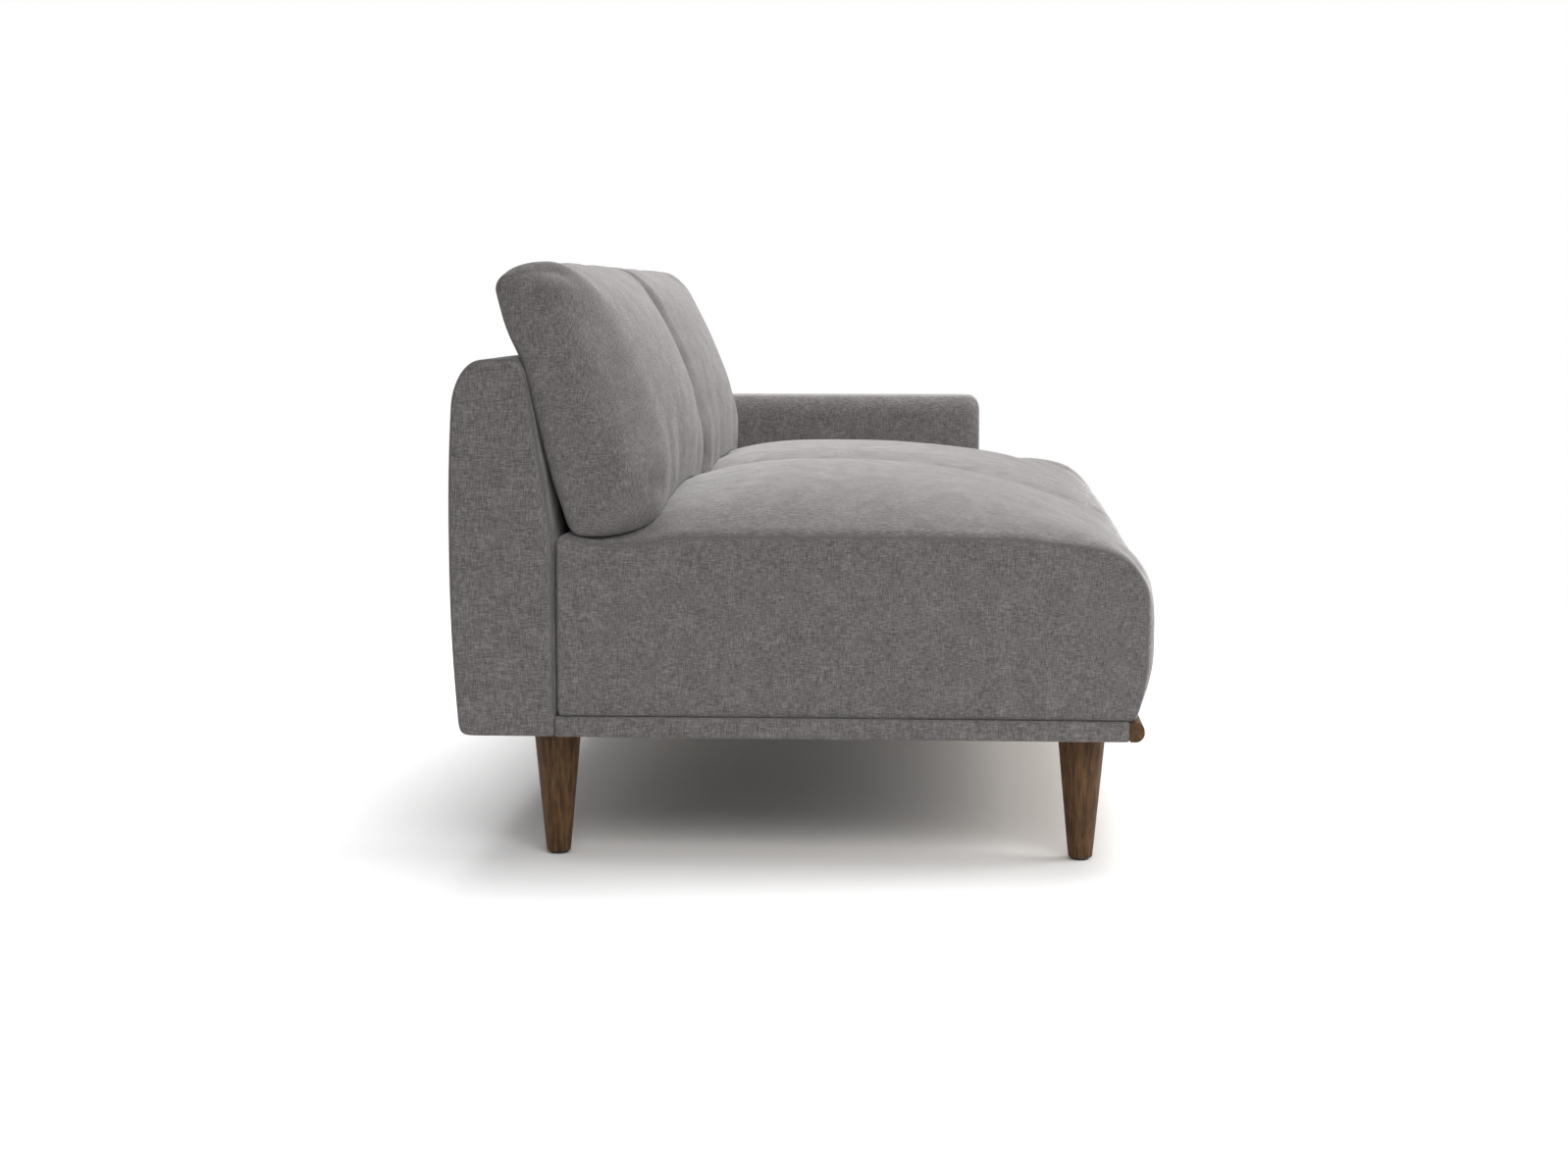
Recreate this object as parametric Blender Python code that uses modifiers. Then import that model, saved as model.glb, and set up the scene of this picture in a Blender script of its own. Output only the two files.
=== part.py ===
"""Two-place modular sofa section with one arm.

X runs along the sofa from the open end to the arm, -Y is the front and +Z is up. The origin is on the
floor under the middle of the section. All sizes are in metres.
"""

import math

import bmesh
import bpy
from mathutils import Matrix, Vector

# The whole section
SEAT_WIDTH = 0.740  # one place: open end to the split, and the split to the arm
ARM_WIDTH = 0.130
DEPTH = 0.970  # front of the seat cushions to the rear of the back
GAP = 0.0003  # left between pieces that touch

# Platform: timber rails, their fabric, and what they carry
LEG_HEIGHT = 0.178  # floor to the underside of the platform
PLATFORM_HEIGHT = 0.028
RAIL_FABRIC = 0.0025  # fabric and wadding over the rails
RAIL_FABRIC_LAP = 0.030  # how far that fabric turns in over and under a rail
FRONT_RAIL_WIDTH = 0.110
END_RAIL_WIDTH = 0.110
ARM_RAIL_LEDGE = 0.050  # width of the arm-end rail inside the arm
CENTRE_RAIL_WIDTH = 0.090
REAR_RAIL_LEDGE = 0.041  # width of the rear rail in front of the back
TRIM_DEPTH = 0.020
TRIM_ROUND = 0.0125
TRIM_SETBACK = 0.011  # nose of the trim behind the front of the seat cushions
WEBBING_STRAP = 0.050
WEBBING_LAP = 0.036  # where the webbing is stapled to a rail
WEBBING_ROWS = 6
WEBBING_COLUMNS = 5
DUST_CLOTH = 0.0009
DUST_CLOTH_LAP = 0.010

# Legs
LEG_INSET = 0.075  # leg centre from the end of the section
FRONT_LEG_SETBACK = 0.083  # leg centre behind the nose of the trim
REAR_LEG_SETBACK = 0.138  # leg centre in front of the rear of the back
LEG_TOP_DIAMETER = 0.067
LEG_FOOT_DIAMETER = 0.034
LEG_FOOT_ROUND = 0.0025
LEG_BOLT_DIAMETER = 0.008
LEG_BOLT_IN_LEG = 0.045
LEG_BOLT_IN_RAIL = 0.018
GLIDE_DIAMETER = 0.027
GLIDE_HEIGHT = 0.003
GLIDE_PIN_DIAMETER = 0.004
GLIDE_PIN_LENGTH = 0.012

# Back
BACK_THICKNESS = 0.144
BACK_RISE = 0.4975  # top of the back above the platform
BACK_KNEE = 0.250  # height above the platform where the front starts to slope
BACK_SLOPE = math.radians(9.0)
BACK_BULGE = 0.011  # how far the rear swells
BACK_BULGE_RISE = 0.370  # height of that swelling above the platform
BACK_TOP_FALL = 0.005  # fall of the top towards the rear
BACK_FRONT_EDGE = (0.020, 0.036)  # depth and height of the rounded top front edge
BACK_REAR_EDGE = 0.046  # depth of the rounded top rear edge
BACK_HEM = 0.012  # rounding of the cover under the rear edge
BACK_STEP = 0.070  # longest facet up the rear
PADDING = 0.008  # padding and fabric of the back and the arm
PADDED_EDGE = 0.016  # how far in from an end the padding reaches its full height
EDGE_DROP = 0.003  # how far it is rounded off at the end
BOARD = 0.004
POST_WIDTH = 0.030
BACK_RAIL_HEIGHT = 0.036
BACK_TOP_RAIL_DEPTH = 0.040
BACK_TOP_FILL = 0.006  # wadding between the top rail and the cover
BACK_BOLT_DIAMETER = 0.008
BACK_BOLT_INSET = 0.240  # bolt from the end of the section

# Arm
ARM_RISE = 0.394  # top of the arm above the platform
ARM_SETBACK = 0.215  # front of the arm behind the nose of the trim
ARM_ROUND = 0.018
ARM_TIMBER = 0.040
ARM_BOLT_DIAMETER = 0.008
ARM_BOLT_INSET = 0.065  # bolt from the end of the section
BOLT_HEAD_DIAMETER = 0.017
BOLT_HEAD_HEIGHT = 0.006
BOLT_GRIP = 0.024  # length of a frame bolt inside the timber above the platform

# Hooks that join the section to its neighbour
HOOK_LENGTH = 0.100  # pivot to the slot
HOOK_WIDTH = 0.028
HOOK_THICKNESS = 0.003
HOOK_SLOT = 0.008
HOOK_CLEARANCE = 0.001  # under the rail fabric
HOOK_INSET = 0.055  # pivot from the open end
HOOK_SPACING = 0.350  # front pivot to rear pivot
HOOK_FRONT = 0.220  # front pivot behind the nose of the trim
HOOK_PIVOT_DIAMETER = 0.006
HOOK_PIVOT_HEAD = 0.016
HOOK_PIVOT_COLLAR = 0.012
HOOK_PIVOT_GRIP = 0.014

# Seat cushions
SEAT_SEAM = 0.252  # platform to the seam along the end panel
SEAT_CROWN = 0.084
SEAT_FRONT_FALL = 0.020  # fall of the end seam towards the front
SEAT_FALL_START = 0.205  # where that fall starts, behind the front
SEAT_FRONT_ROUND = 0.078
SEAT_FRONT_TUCK = 0.019  # how far the front draws in at the bottom
SEAT_TUCK_START = 0.100  # height where it starts to draw in
SEAT_REAR_ROUND = 0.012  # rounding of the rear and bottom edges
SEAT_END_CLEARANCE = 0.003  # end panel inside the end of the platform
SEAT_WAIST = 0.005  # how far an end panel draws in at its middle
CUSHION_CLEARANCE = 0.004  # cushion to the back, the arm and the next cushion
COVER_WALL = 0.004  # fabric and wadding of a cushion
FOAM_SLACK = 0.0007  # foam inside its cover
CUSHION_STEP = 0.090  # longest facet of a cover
FOAM_STEP = 0.120  # longest facet along the inside of a cover and along its foam

# Back cushions
BACK_CUSHION_HEIGHT = 0.388
BACK_CUSHION_FOOT = 0.170  # thickness at the bottom
BACK_CUSHION_HEAD = 0.098  # thickness at the top
BACK_CUSHION_LEAN = math.radians(14.5)
BACK_CUSHION_HEEL = 0.045  # rounding of the bottom rear edge
BACK_CUSHION_TOE = 0.072  # rounding of the bottom front edge
BACK_CUSHION_BROW = 0.034  # rounding of the top edges
BACK_CUSHION_CROWN = 0.030
BACK_CUSHION_REST = 0.003  # over the crown of the seat cushion

# Zips
ZIP_LENGTH = 0.480
ZIP_SLOT = 0.030
ZIP_TAPE = 0.0018
ZIP_TEETH_WIDTH = 0.005
ZIP_TEETH_HEIGHT = 0.0014
ZIP_HEIGHT_ON_SEAT = 0.110
ZIP_HEIGHT_ON_BACK = 0.120
SLIDER_LENGTH = 0.012
SLIDER_WIDTH = 0.011
SLIDER_PROUD = 0.0012
SLIDER_TAB_LENGTH = 0.024
SLIDER_TAB_WIDTH = 0.006
SLIDER_END_MARGIN = 0.006

# Places that follow from the sizes
WIDTH = 2 * SEAT_WIDTH + ARM_WIDTH
OPEN_END = -WIDTH / 2
ARM_END = WIDTH / 2
SPLIT = OPEN_END + SEAT_WIDTH
ARM_INNER = ARM_END - ARM_WIDTH
FRONT = -DEPTH / 2
REAR = DEPTH / 2
PLATFORM_BOTTOM = LEG_HEIGHT
PLATFORM_TOP = LEG_HEIGHT + PLATFORM_HEIGHT
TIMBER_BOTTOM = PLATFORM_BOTTOM + RAIL_FABRIC
TIMBER_TOP = PLATFORM_TOP - RAIL_FABRIC
TRIM_NOSE = FRONT + TRIM_SETBACK
TRIM_BACK = TRIM_NOSE + TRIM_DEPTH
FRONT_RAIL_BACK = TRIM_BACK + FRONT_RAIL_WIDTH
BACK_FRONT = REAR - BACK_THICKNESS
REAR_RAIL_FRONT = BACK_FRONT - REAR_RAIL_LEDGE
REAR_RAIL_BACK = REAR - BACK_BULGE - PADDING - GAP
BACK_TOP = PLATFORM_TOP + BACK_RISE
KNEE = PLATFORM_TOP + BACK_KNEE
ARM_FRONT = TRIM_NOSE + ARM_SETBACK
ARM_TOP = PLATFORM_TOP + ARM_RISE
SEAM = PLATFORM_TOP + GAP + SEAT_SEAM
SEAT_REAR = BACK_FRONT - CUSHION_CLEARANCE
EAR_REAR = ARM_FRONT - CUSHION_CLEARANCE

# Finishes: base colour, roughness, metallic
FINISHES = {
    "grey_fabric": ((0.235, 0.225, 0.218), 0.95, 0.0),
    "dark_wood": ((0.060, 0.032, 0.018), 0.45, 0.0),
    "frame_timber": ((0.520, 0.370, 0.210), 0.75, 0.0),
    "fibre_board": ((0.300, 0.190, 0.100), 0.80, 0.0),
    "black_webbing": ((0.020, 0.020, 0.022), 0.85, 0.0),
    "black_cloth": ((0.014, 0.014, 0.015), 0.95, 0.0),
    "zinc_steel": ((0.560, 0.560, 0.540), 0.35, 1.0),
    "nylon_glide": ((0.030, 0.028, 0.026), 0.55, 0.0),
    "cream_foam": ((0.700, 0.610, 0.420), 0.95, 0.0),
    "zip_tape": ((0.110, 0.105, 0.102), 0.85, 0.0),
}

for old in list(bpy.data.objects):
    bpy.data.objects.remove(old, do_unlink=True)
parts = bpy.data.collections.new("modular_sofa_section")
cutters = bpy.data.collections.new("cutters")
bpy.context.scene.collection.children.link(parts)
bpy.context.scene.collection.children.link(cutters)


def finish(name):
    """The material of that name, made on first use."""
    material = bpy.data.materials.get(name)
    if material is None:
        colour, roughness, metallic = FINISHES[name]
        material = bpy.data.materials.new(name)
        material.use_nodes = True
        shader = material.node_tree.nodes["Principled BSDF"]
        shader.inputs["Base Color"].default_value = (*colour, 1.0)
        shader.inputs["Roughness"].default_value = roughness
        shader.inputs["Metallic"].default_value = metallic
        material.diffuse_color = (*colour, 1.0)
    return material


def body_origin(name, place, lean=0.0):
    """An empty that carries the pieces of one moving body, at a place on the axis that it moves along."""
    empty = bpy.data.objects.new(name, None)
    empty.location = place
    empty.rotation_euler = (-lean, 0.0, 0.0)
    empty.empty_display_size = 0.05
    parts.objects.link(empty)
    return empty


def place(data, name, material, parent=None):
    """A part made of that mesh or curve, in its parent's space."""
    data.materials.append(finish(material))
    part = bpy.data.objects.new(name, data)
    part.parent = parent
    parts.objects.link(part)
    return part


def mesh_from(bm, name):
    """The finished mesh of a bmesh, which is freed."""
    mesh = bpy.data.meshes.new(name)
    bm.to_mesh(mesh)
    bm.free()
    return mesh


def block(low, high):
    """A bmesh block between two corners."""
    low, high = Vector(low), Vector(high)
    bm = bmesh.new()
    bmesh.ops.create_cube(bm, size=1.0)
    bmesh.ops.scale(bm, vec=high - low, verts=bm.verts)
    bmesh.ops.translate(bm, vec=(low + high) / 2, verts=bm.verts)
    return bm


def box(name, material, low, high):
    """A part that is a block between two corners."""
    return place(mesh_from(block(low, high), name), name, material)


def arc(centre, radii, start, end, steps):
    """Points along a quarter or other stretch of an ellipse, angles in degrees."""
    points = []
    for step in range(steps + 1):
        angle = math.radians(start + (end - start) * step / steps)
        points.append((centre[0] + radii[0] * math.cos(angle), centre[1] + radii[1] * math.sin(angle)))
    return points


def rounded(corners, steps):
    """A closed outline through corners given as (y, z, radius), each rounded by an arc of its radius."""
    outline = []
    for index, (y, z, radius) in enumerate(corners):
        corner = Vector((y, z))
        before = (Vector(corners[index - 1][:2]) - corner).normalized()
        after = (Vector(corners[(index + 1) % len(corners)][:2]) - corner).normalized()
        half = before.angle(after) / 2
        if radius == 0 or half > math.radians(89.9):
            outline.append((y, z))
            continue
        centre = corner + (before + after).normalized() * radius / math.sin(half)
        first = corner + before * radius / math.tan(half) - centre
        last = corner + after * radius / math.tan(half) - centre
        start = math.degrees(math.atan2(first.y, first.x))
        sweep = (math.degrees(math.atan2(last.y, last.x)) - start + 180) % 360 - 180
        outline += arc(centre, (radius, radius), start, start + sweep, steps)
    return outline


def divided(outline, longest):
    """The same closed outline with points added along its long straight stretches."""
    points = []
    for here, there in zip(outline, outline[1:] + outline[:1]):
        count = max(1, math.ceil(math.dist(here, there) / longest))
        for step in range(count):
            share = step / count
            points.append((here[0] + (there[0] - here[0]) * share, here[1] + (there[1] - here[1]) * share))
    return points


def inset_line(points, distance):
    """An open outline moved by a distance towards its right-hand side."""
    sides = []
    for here, there in zip(points, points[1:]):
        along = (Vector(there) - Vector(here)).normalized()
        sides.append(Vector((along.y, -along.x)))
    moved = []
    for (y, z), before, after in zip(points, sides[:1] + sides, sides + sides[-1:]):
        middle = (before + after).normalized()
        reach = distance / middle.dot(before)
        moved.append((y + middle.x * reach, z + middle.y * reach))
    return moved


def evenly(start, end, longest):
    """Stations from start to end, no further apart than longest."""
    count = max(1, math.ceil((end - start) / longest))
    return [start + (end - start) * step / count for step in range(count + 1)]


def flat_curve(name, outlines, thickness):
    """A filled flat curve, extruded; every outline after the first is a hole."""
    curve = bpy.data.curves.new(name, "CURVE")
    curve.dimensions = "2D"
    curve.fill_mode = "BOTH"
    curve.extrude = thickness / 2
    for outline in outlines:
        spline = curve.splines.new("POLY")
        spline.points.add(len(outline) - 1)
        for point, (u, v) in zip(spline.points, outline):
            point.co = (u, v, 0.0, 1.0)
        spline.use_cyclic_u = True
    return curve


def prism(name, material, outline, start, end, parent=None):
    """A bar with a (y, z) outline, running along X from start to end."""
    part = place(flat_curve(name, [outline], end - start), name, material, parent)
    part.matrix_local = Matrix(
        ((0, 0, 1, (start + end) / 2), (1, 0, 0, 0), (0, 1, 0, 0), (0, 0, 0, 1))
    )
    return part


def turned(name, material, profile, sides, location, parent=None):
    """A lathe-turned part; its (radius, z) profile starts and ends on the axis and runs down the outside."""
    bm = bmesh.new()
    points = [bm.verts.new((radius, 0.0, z)) for radius, z in profile]
    for upper, lower in zip(points, points[1:]):
        bm.edges.new((upper, lower))
    part = place(mesh_from(bm, name), name, material, parent)
    part.location = location
    screw = part.modifiers.new("turn", "SCREW")
    screw.axis = "Z"
    screw.angle = math.tau
    screw.steps = screw.render_steps = sides
    screw.use_merge_vertices = True
    screw.merge_threshold = 0.00001
    screw.use_smooth_shade = True
    return part


def cut_by(part, bm, label, operation="DIFFERENCE"):
    """Cuts a part by a shape, or joins the shape to it; the shape is kept as a hidden cutter."""
    name = f"{part.name}_{label}"
    cutter = bpy.data.objects.new(name, mesh_from(bm, name))
    cutter.parent = part.parent
    cutter.hide_render = True
    cutter.display_type = "WIRE"
    cutters.objects.link(cutter)
    boolean = part.modifiers.new(label, "BOOLEAN")
    boolean.operation = operation
    boolean.use_self = True
    boolean.object = cutter


def bore(part, holes):
    """Round holes cut into a part, each given as (x, y, bottom, top, diameter)."""
    bm = bmesh.new()
    for x, y, bottom, top, diameter in holes:
        bmesh.ops.create_cone(
            bm,
            cap_ends=True,
            segments=16,
            radius1=diameter / 2,
            radius2=diameter / 2,
            depth=top - bottom,
            matrix=Matrix.Translation((x, y, (bottom + top) / 2)),
        )
    cut_by(part, bm, "holes")


def swept(outline, stations):
    """A closed bmesh: the (y, z) outline carried along X through the stations, with a panel at each end."""
    bm = bmesh.new()
    ring = [bm.verts.new((stations[0], y, z)) for y, z in outline]
    edges = [bm.edges.new(pair) for pair in zip(ring, ring[1:] + ring[:1])]
    bmesh.ops.edgeloop_fill(bm, edges=edges)
    for here, there in zip(stations, stations[1:]):
        made = bmesh.ops.extrude_edge_only(bm, edges=edges)["geom"]
        points = {item for item in made if isinstance(item, bmesh.types.BMVert)}
        bmesh.ops.translate(bm, vec=(there - here, 0.0, 0.0), verts=list(points))
        edges = [item for item in made if isinstance(item, bmesh.types.BMEdge) and set(item.verts) <= points]
    bmesh.ops.edgeloop_fill(bm, edges=edges)
    bmesh.ops.recalc_face_normals(bm, faces=bm.faces)
    return bm


def open_faces(bm, inside):
    """Removes the faces whose centre the test accepts."""
    found = [face for face in bm.faces if inside(face.calc_center_median())]
    bmesh.ops.delete(bm, geom=found, context="FACES")


def walled(part, wall):
    """Turns an open surface into a shell of that wall, thickened inwards."""
    solidify = part.modifiers.new("wall", "SOLIDIFY")
    solidify.thickness = wall
    solidify.offset = -1.0
    solidify.use_even_offset = True


# Front trim: a solid wood strip with a bullnose, end grain showing at the open end
trim_corners = [
    (TRIM_BACK, PLATFORM_BOTTOM, 0.0),
    (TRIM_NOSE, PLATFORM_BOTTOM, TRIM_ROUND),
    (TRIM_NOSE, PLATFORM_TOP, TRIM_ROUND),
    (TRIM_BACK, PLATFORM_TOP, 0.0),
]
prism("front_trim", "dark_wood", rounded(trim_corners, 5), OPEN_END, ARM_END)

# Platform rails: flat boards that butt together inside the fabric
RAIL_START = OPEN_END + RAIL_FABRIC + GAP
RAIL_END = ARM_END - RAIL_FABRIC - GAP
END_RAIL_FRONT = FRONT_RAIL_BACK + GAP
END_RAIL_BACK = REAR_RAIL_FRONT - GAP
OPEN_RAIL_INNER = RAIL_START + END_RAIL_WIDTH
ARM_RAIL_INNER = ARM_INNER - ARM_RAIL_LEDGE


def rail(name, x_start, x_end, y_start, y_end):
    return box(name, "frame_timber", (x_start, y_start, TIMBER_BOTTOM), (x_end, y_end, TIMBER_TOP))


front_rail = rail("front_rail", RAIL_START, RAIL_END, TRIM_BACK + GAP, FRONT_RAIL_BACK)
rear_rail = rail(
    "rear_rail", OPEN_END + PADDING + GAP, ARM_END - PADDING - GAP, REAR_RAIL_FRONT, REAR_RAIL_BACK
)
open_rail = rail("end_rail_open", RAIL_START, OPEN_RAIL_INNER, END_RAIL_FRONT, END_RAIL_BACK)
arm_rail = rail("end_rail_arm", ARM_RAIL_INNER, RAIL_END, END_RAIL_FRONT, END_RAIL_BACK)
rail(
    "centre_rail",
    SPLIT - CENTRE_RAIL_WIDTH / 2,
    SPLIT + CENTRE_RAIL_WIDTH / 2,
    END_RAIL_FRONT,
    END_RAIL_BACK,
)

# Rail covers: fabric channels wrapped round the end rails, between the trim and the back
for name, outer, inward in (("rail_cover_open", OPEN_END, 1.0), ("rail_cover_arm", ARM_END, -1.0)):
    bm = bmesh.new()
    turn_in = outer + inward * RAIL_FABRIC_LAP
    channel = [(turn_in, PLATFORM_TOP), (outer, PLATFORM_TOP), (outer, PLATFORM_BOTTOM), (turn_in, PLATFORM_BOTTOM)]
    chain = [bm.verts.new((x, TRIM_BACK + GAP, z)) for x, z in channel]
    strip = [bm.edges.new(pair) for pair in zip(chain, chain[1:])]
    grown = bmesh.ops.extrude_edge_only(bm, edges=strip)["geom"]
    far_points = [item for item in grown if isinstance(item, bmesh.types.BMVert)]
    bmesh.ops.translate(bm, vec=(0.0, BACK_FRONT - TRIM_BACK - 2 * GAP, 0.0), verts=far_points)
    bmesh.ops.recalc_face_normals(bm, faces=bm.faces)
    side = next(face for face in bm.faces if abs(face.normal.x) > 0.5)
    if side.normal.x * inward > 0:
        bmesh.ops.reverse_faces(bm, faces=bm.faces)
    walled(place(mesh_from(bm, name), name, "grey_fabric"), RAIL_FABRIC - GAP)

# Seat webbing: elastic straps crossing under each place, stapled on top of the rails
WEBBING_FRONT = FRONT_RAIL_BACK - WEBBING_LAP
WEBBING_BACK = REAR_RAIL_FRONT + WEBBING_LAP


def strap_lines(start, end, count):
    """Edges of the straps and of the gaps between them, in order."""
    pitch = (end - start - WEBBING_STRAP) / (count - 1)
    lines = []
    for index in range(count):
        lines += [start + index * pitch, start + index * pitch + WEBBING_STRAP]
    return lines


def webbing(name, x_start, x_end):
    columns = strap_lines(x_start, x_end, WEBBING_COLUMNS)
    rows = strap_lines(WEBBING_FRONT, WEBBING_BACK, WEBBING_ROWS)
    bm = bmesh.new()
    net = bmesh.ops.create_grid(bm, x_segments=len(columns) - 1, y_segments=len(rows) - 1, size=1.0)
    across = sorted({round(vert.co.x, 5) for vert in net["verts"]})
    along = sorted({round(vert.co.y, 5) for vert in net["verts"]})
    for vert in bm.verts:
        column = across.index(round(vert.co.x, 5))
        row = along.index(round(vert.co.y, 5))
        vert.co = (columns[column], rows[row], PLATFORM_TOP)

    def between_straps(centre):
        past_column = max(index for index, line in enumerate(columns) if line < centre.x)
        past_row = max(index for index, line in enumerate(rows) if line < centre.y)
        return past_column % 2 == 1 and past_row % 2 == 1

    open_faces(bm, between_straps)
    walled(place(mesh_from(bm, name), name, "black_webbing"), RAIL_FABRIC - GAP)


webbing("seat_webbing_open", OPEN_RAIL_INNER - WEBBING_LAP, SPLIT - GAP)
webbing("seat_webbing_arm", SPLIT + GAP, ARM_RAIL_INNER + WEBBING_LAP)

# Dust cloth: stapled under the rails, between the legs
box(
    "dust_cloth",
    "black_cloth",
    (OPEN_RAIL_INNER - DUST_CLOTH_LAP, FRONT_RAIL_BACK - DUST_CLOTH_LAP, TIMBER_BOTTOM - GAP - DUST_CLOTH),
    (ARM_RAIL_INNER + DUST_CLOTH_LAP, REAR_RAIL_FRONT + DUST_CLOTH_LAP, TIMBER_BOTTOM - GAP),
)

# Legs: turned and tapered, each on a hanger bolt in the rail above, with a glide pinned under the foot
LEG_TOP = TIMBER_BOTTOM - GAP
LEG_FOOT = GLIDE_HEIGHT + GAP
leg_top_radius = LEG_TOP_DIAMETER / 2
leg_foot_radius = LEG_FOOT_DIAMETER / 2
bolt_hole = LEG_BOLT_DIAMETER / 2 + GAP
pin_hole = GLIDE_PIN_DIAMETER / 2 + GAP
leg_profile = [
    (0.0, LEG_TOP - LEG_BOLT_IN_LEG),
    (bolt_hole, LEG_TOP - LEG_BOLT_IN_LEG),
    (bolt_hole, LEG_TOP),
    (leg_top_radius, LEG_TOP),
    (leg_foot_radius, LEG_FOOT + LEG_FOOT_ROUND),
    (leg_foot_radius - LEG_FOOT_ROUND, LEG_FOOT),
    (pin_hole, LEG_FOOT),
    (pin_hole, LEG_FOOT + GLIDE_PIN_LENGTH),
    (0.0, LEG_FOOT + GLIDE_PIN_LENGTH),
]
leg_bolt_profile = [
    (0.0, LEG_TOP + LEG_BOLT_IN_RAIL - GAP),
    (LEG_BOLT_DIAMETER / 2, LEG_TOP + LEG_BOLT_IN_RAIL - GAP),
    (LEG_BOLT_DIAMETER / 2, LEG_TOP - LEG_BOLT_IN_LEG + GAP),
    (0.0, LEG_TOP - LEG_BOLT_IN_LEG + GAP),
]
glide_profile = [
    (0.0, LEG_FOOT + GLIDE_PIN_LENGTH - GAP),
    (GLIDE_PIN_DIAMETER / 2, LEG_FOOT + GLIDE_PIN_LENGTH - GAP),
    (GLIDE_PIN_DIAMETER / 2, GLIDE_HEIGHT),
    (GLIDE_DIAMETER / 2, GLIDE_HEIGHT),
    (GLIDE_DIAMETER / 2 - GLIDE_HEIGHT / 2, 0.0),
    (0.0, 0.0),
]
front_leg_y = TRIM_NOSE + FRONT_LEG_SETBACK
rear_leg_y = REAR - REAR_LEG_SETBACK
leg_holes = {"front": [], "rear": []}
for end_name, leg_x in (("open", OPEN_END + LEG_INSET), ("arm", ARM_END - LEG_INSET)):
    for row, leg_y in (("front", front_leg_y), ("rear", rear_leg_y)):
        spot = (leg_x, leg_y, 0.0)
        turned(f"leg_{row}_{end_name}", "dark_wood", leg_profile, 24, spot)
        turned(f"leg_bolt_{row}_{end_name}", "zinc_steel", leg_bolt_profile, 12, spot)
        turned(f"leg_glide_{row}_{end_name}", "nylon_glide", glide_profile, 12, spot)
        leg_holes[row].append(
            (leg_x, leg_y, LEG_HEIGHT - GAP, LEG_TOP + LEG_BOLT_IN_RAIL, LEG_BOLT_DIAMETER + 2 * GAP)
        )
bore(front_rail, leg_holes["front"])

# Back section: its outline seen from the open end, from the front bottom over the top to the rear hem
front_edge_low = BACK_TOP - BACK_FRONT_EDGE[1]
front_edge_y = BACK_FRONT + (front_edge_low - KNEE) * math.tan(BACK_SLOPE)
bulge_height = PLATFORM_TOP + BACK_BULGE_RISE
rear_edge_top = BACK_TOP - BACK_TOP_FALL
hem_rear = REAR - BACK_BULGE
hem_top = PLATFORM_BOTTOM + BACK_HEM
back_front_edge = arc((front_edge_y + BACK_FRONT_EDGE[0], front_edge_low), BACK_FRONT_EDGE, 180, 90, 5)
back_rear_edge = arc(
    (REAR - BACK_REAR_EDGE, bulge_height), (BACK_REAR_EDGE, rear_edge_top - bulge_height), 90, 0, 7
)
back_swell = []
for height in evenly(hem_top, bulge_height, BACK_STEP)[-2::-1]:
    drop = (bulge_height - height) / (bulge_height - hem_top)
    back_swell.append((REAR - BACK_BULGE * drop**2, height))
back_hem = arc((hem_rear - BACK_HEM, hem_top), (BACK_HEM, BACK_HEM), 0, -90, 3)[1:]
back_wall = [(BACK_FRONT, TIMBER_TOP + GAP), (BACK_FRONT, KNEE), *back_front_edge, *back_rear_edge, *back_swell]
back_outline = [(BACK_FRONT, PLATFORM_BOTTOM), *back_wall, *back_hem]

# Back cover: fabric over padding, open underneath and under its front where the platform enters it
bm = swept(back_outline, [OPEN_END, OPEN_END + PADDED_EDGE, ARM_END - PADDED_EDGE, ARM_END])
for vert in bm.verts:
    on_end = min(abs(vert.co.x - OPEN_END), abs(vert.co.x - ARM_END)) < GAP
    if on_end and vert.co.z > front_edge_low:
        vert.co.z -= EDGE_DROP * (vert.co.z - front_edge_low) / (BACK_TOP - front_edge_low)
back_cover = place(mesh_from(bm, "back_cover"), "back_cover", "grey_fabric")
below = PLATFORM_BOTTOM - PADDING
ahead = BACK_FRONT - PADDING
back_room = inset_line(back_wall, PADDING)
back_room = [(ahead, below), (ahead, TIMBER_TOP + GAP), *back_room, (back_room[-1][0], below)]
cut_by(back_cover, swept(back_room, [OPEN_END + PADDING, ARM_END - PADDING]), "room")

# Back frame: a bottom rail, three tapered posts and a top rail, with the board that the cushions lean on
INNER_START = OPEN_END + PADDING + GAP
INNER_END = ARM_END - PADDING - GAP
board_front = BACK_FRONT + PADDING + GAP
post_front = board_front + BOARD + GAP
post_rear = hem_rear - PADDING - GAP
post_bottom = TIMBER_TOP + GAP + BACK_RAIL_HEIGHT + GAP
top_rail_top = rear_edge_top - PADDING - BACK_TOP_FILL
post_top = top_rail_top - BACK_RAIL_HEIGHT - GAP
board_top = front_edge_low - BACK_FRONT_EDGE[1] / 2


def slope_at(height):
    """How far the sloped front has moved back at a height."""
    return max(0.0, height - KNEE) * math.tan(BACK_SLOPE)


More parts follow.
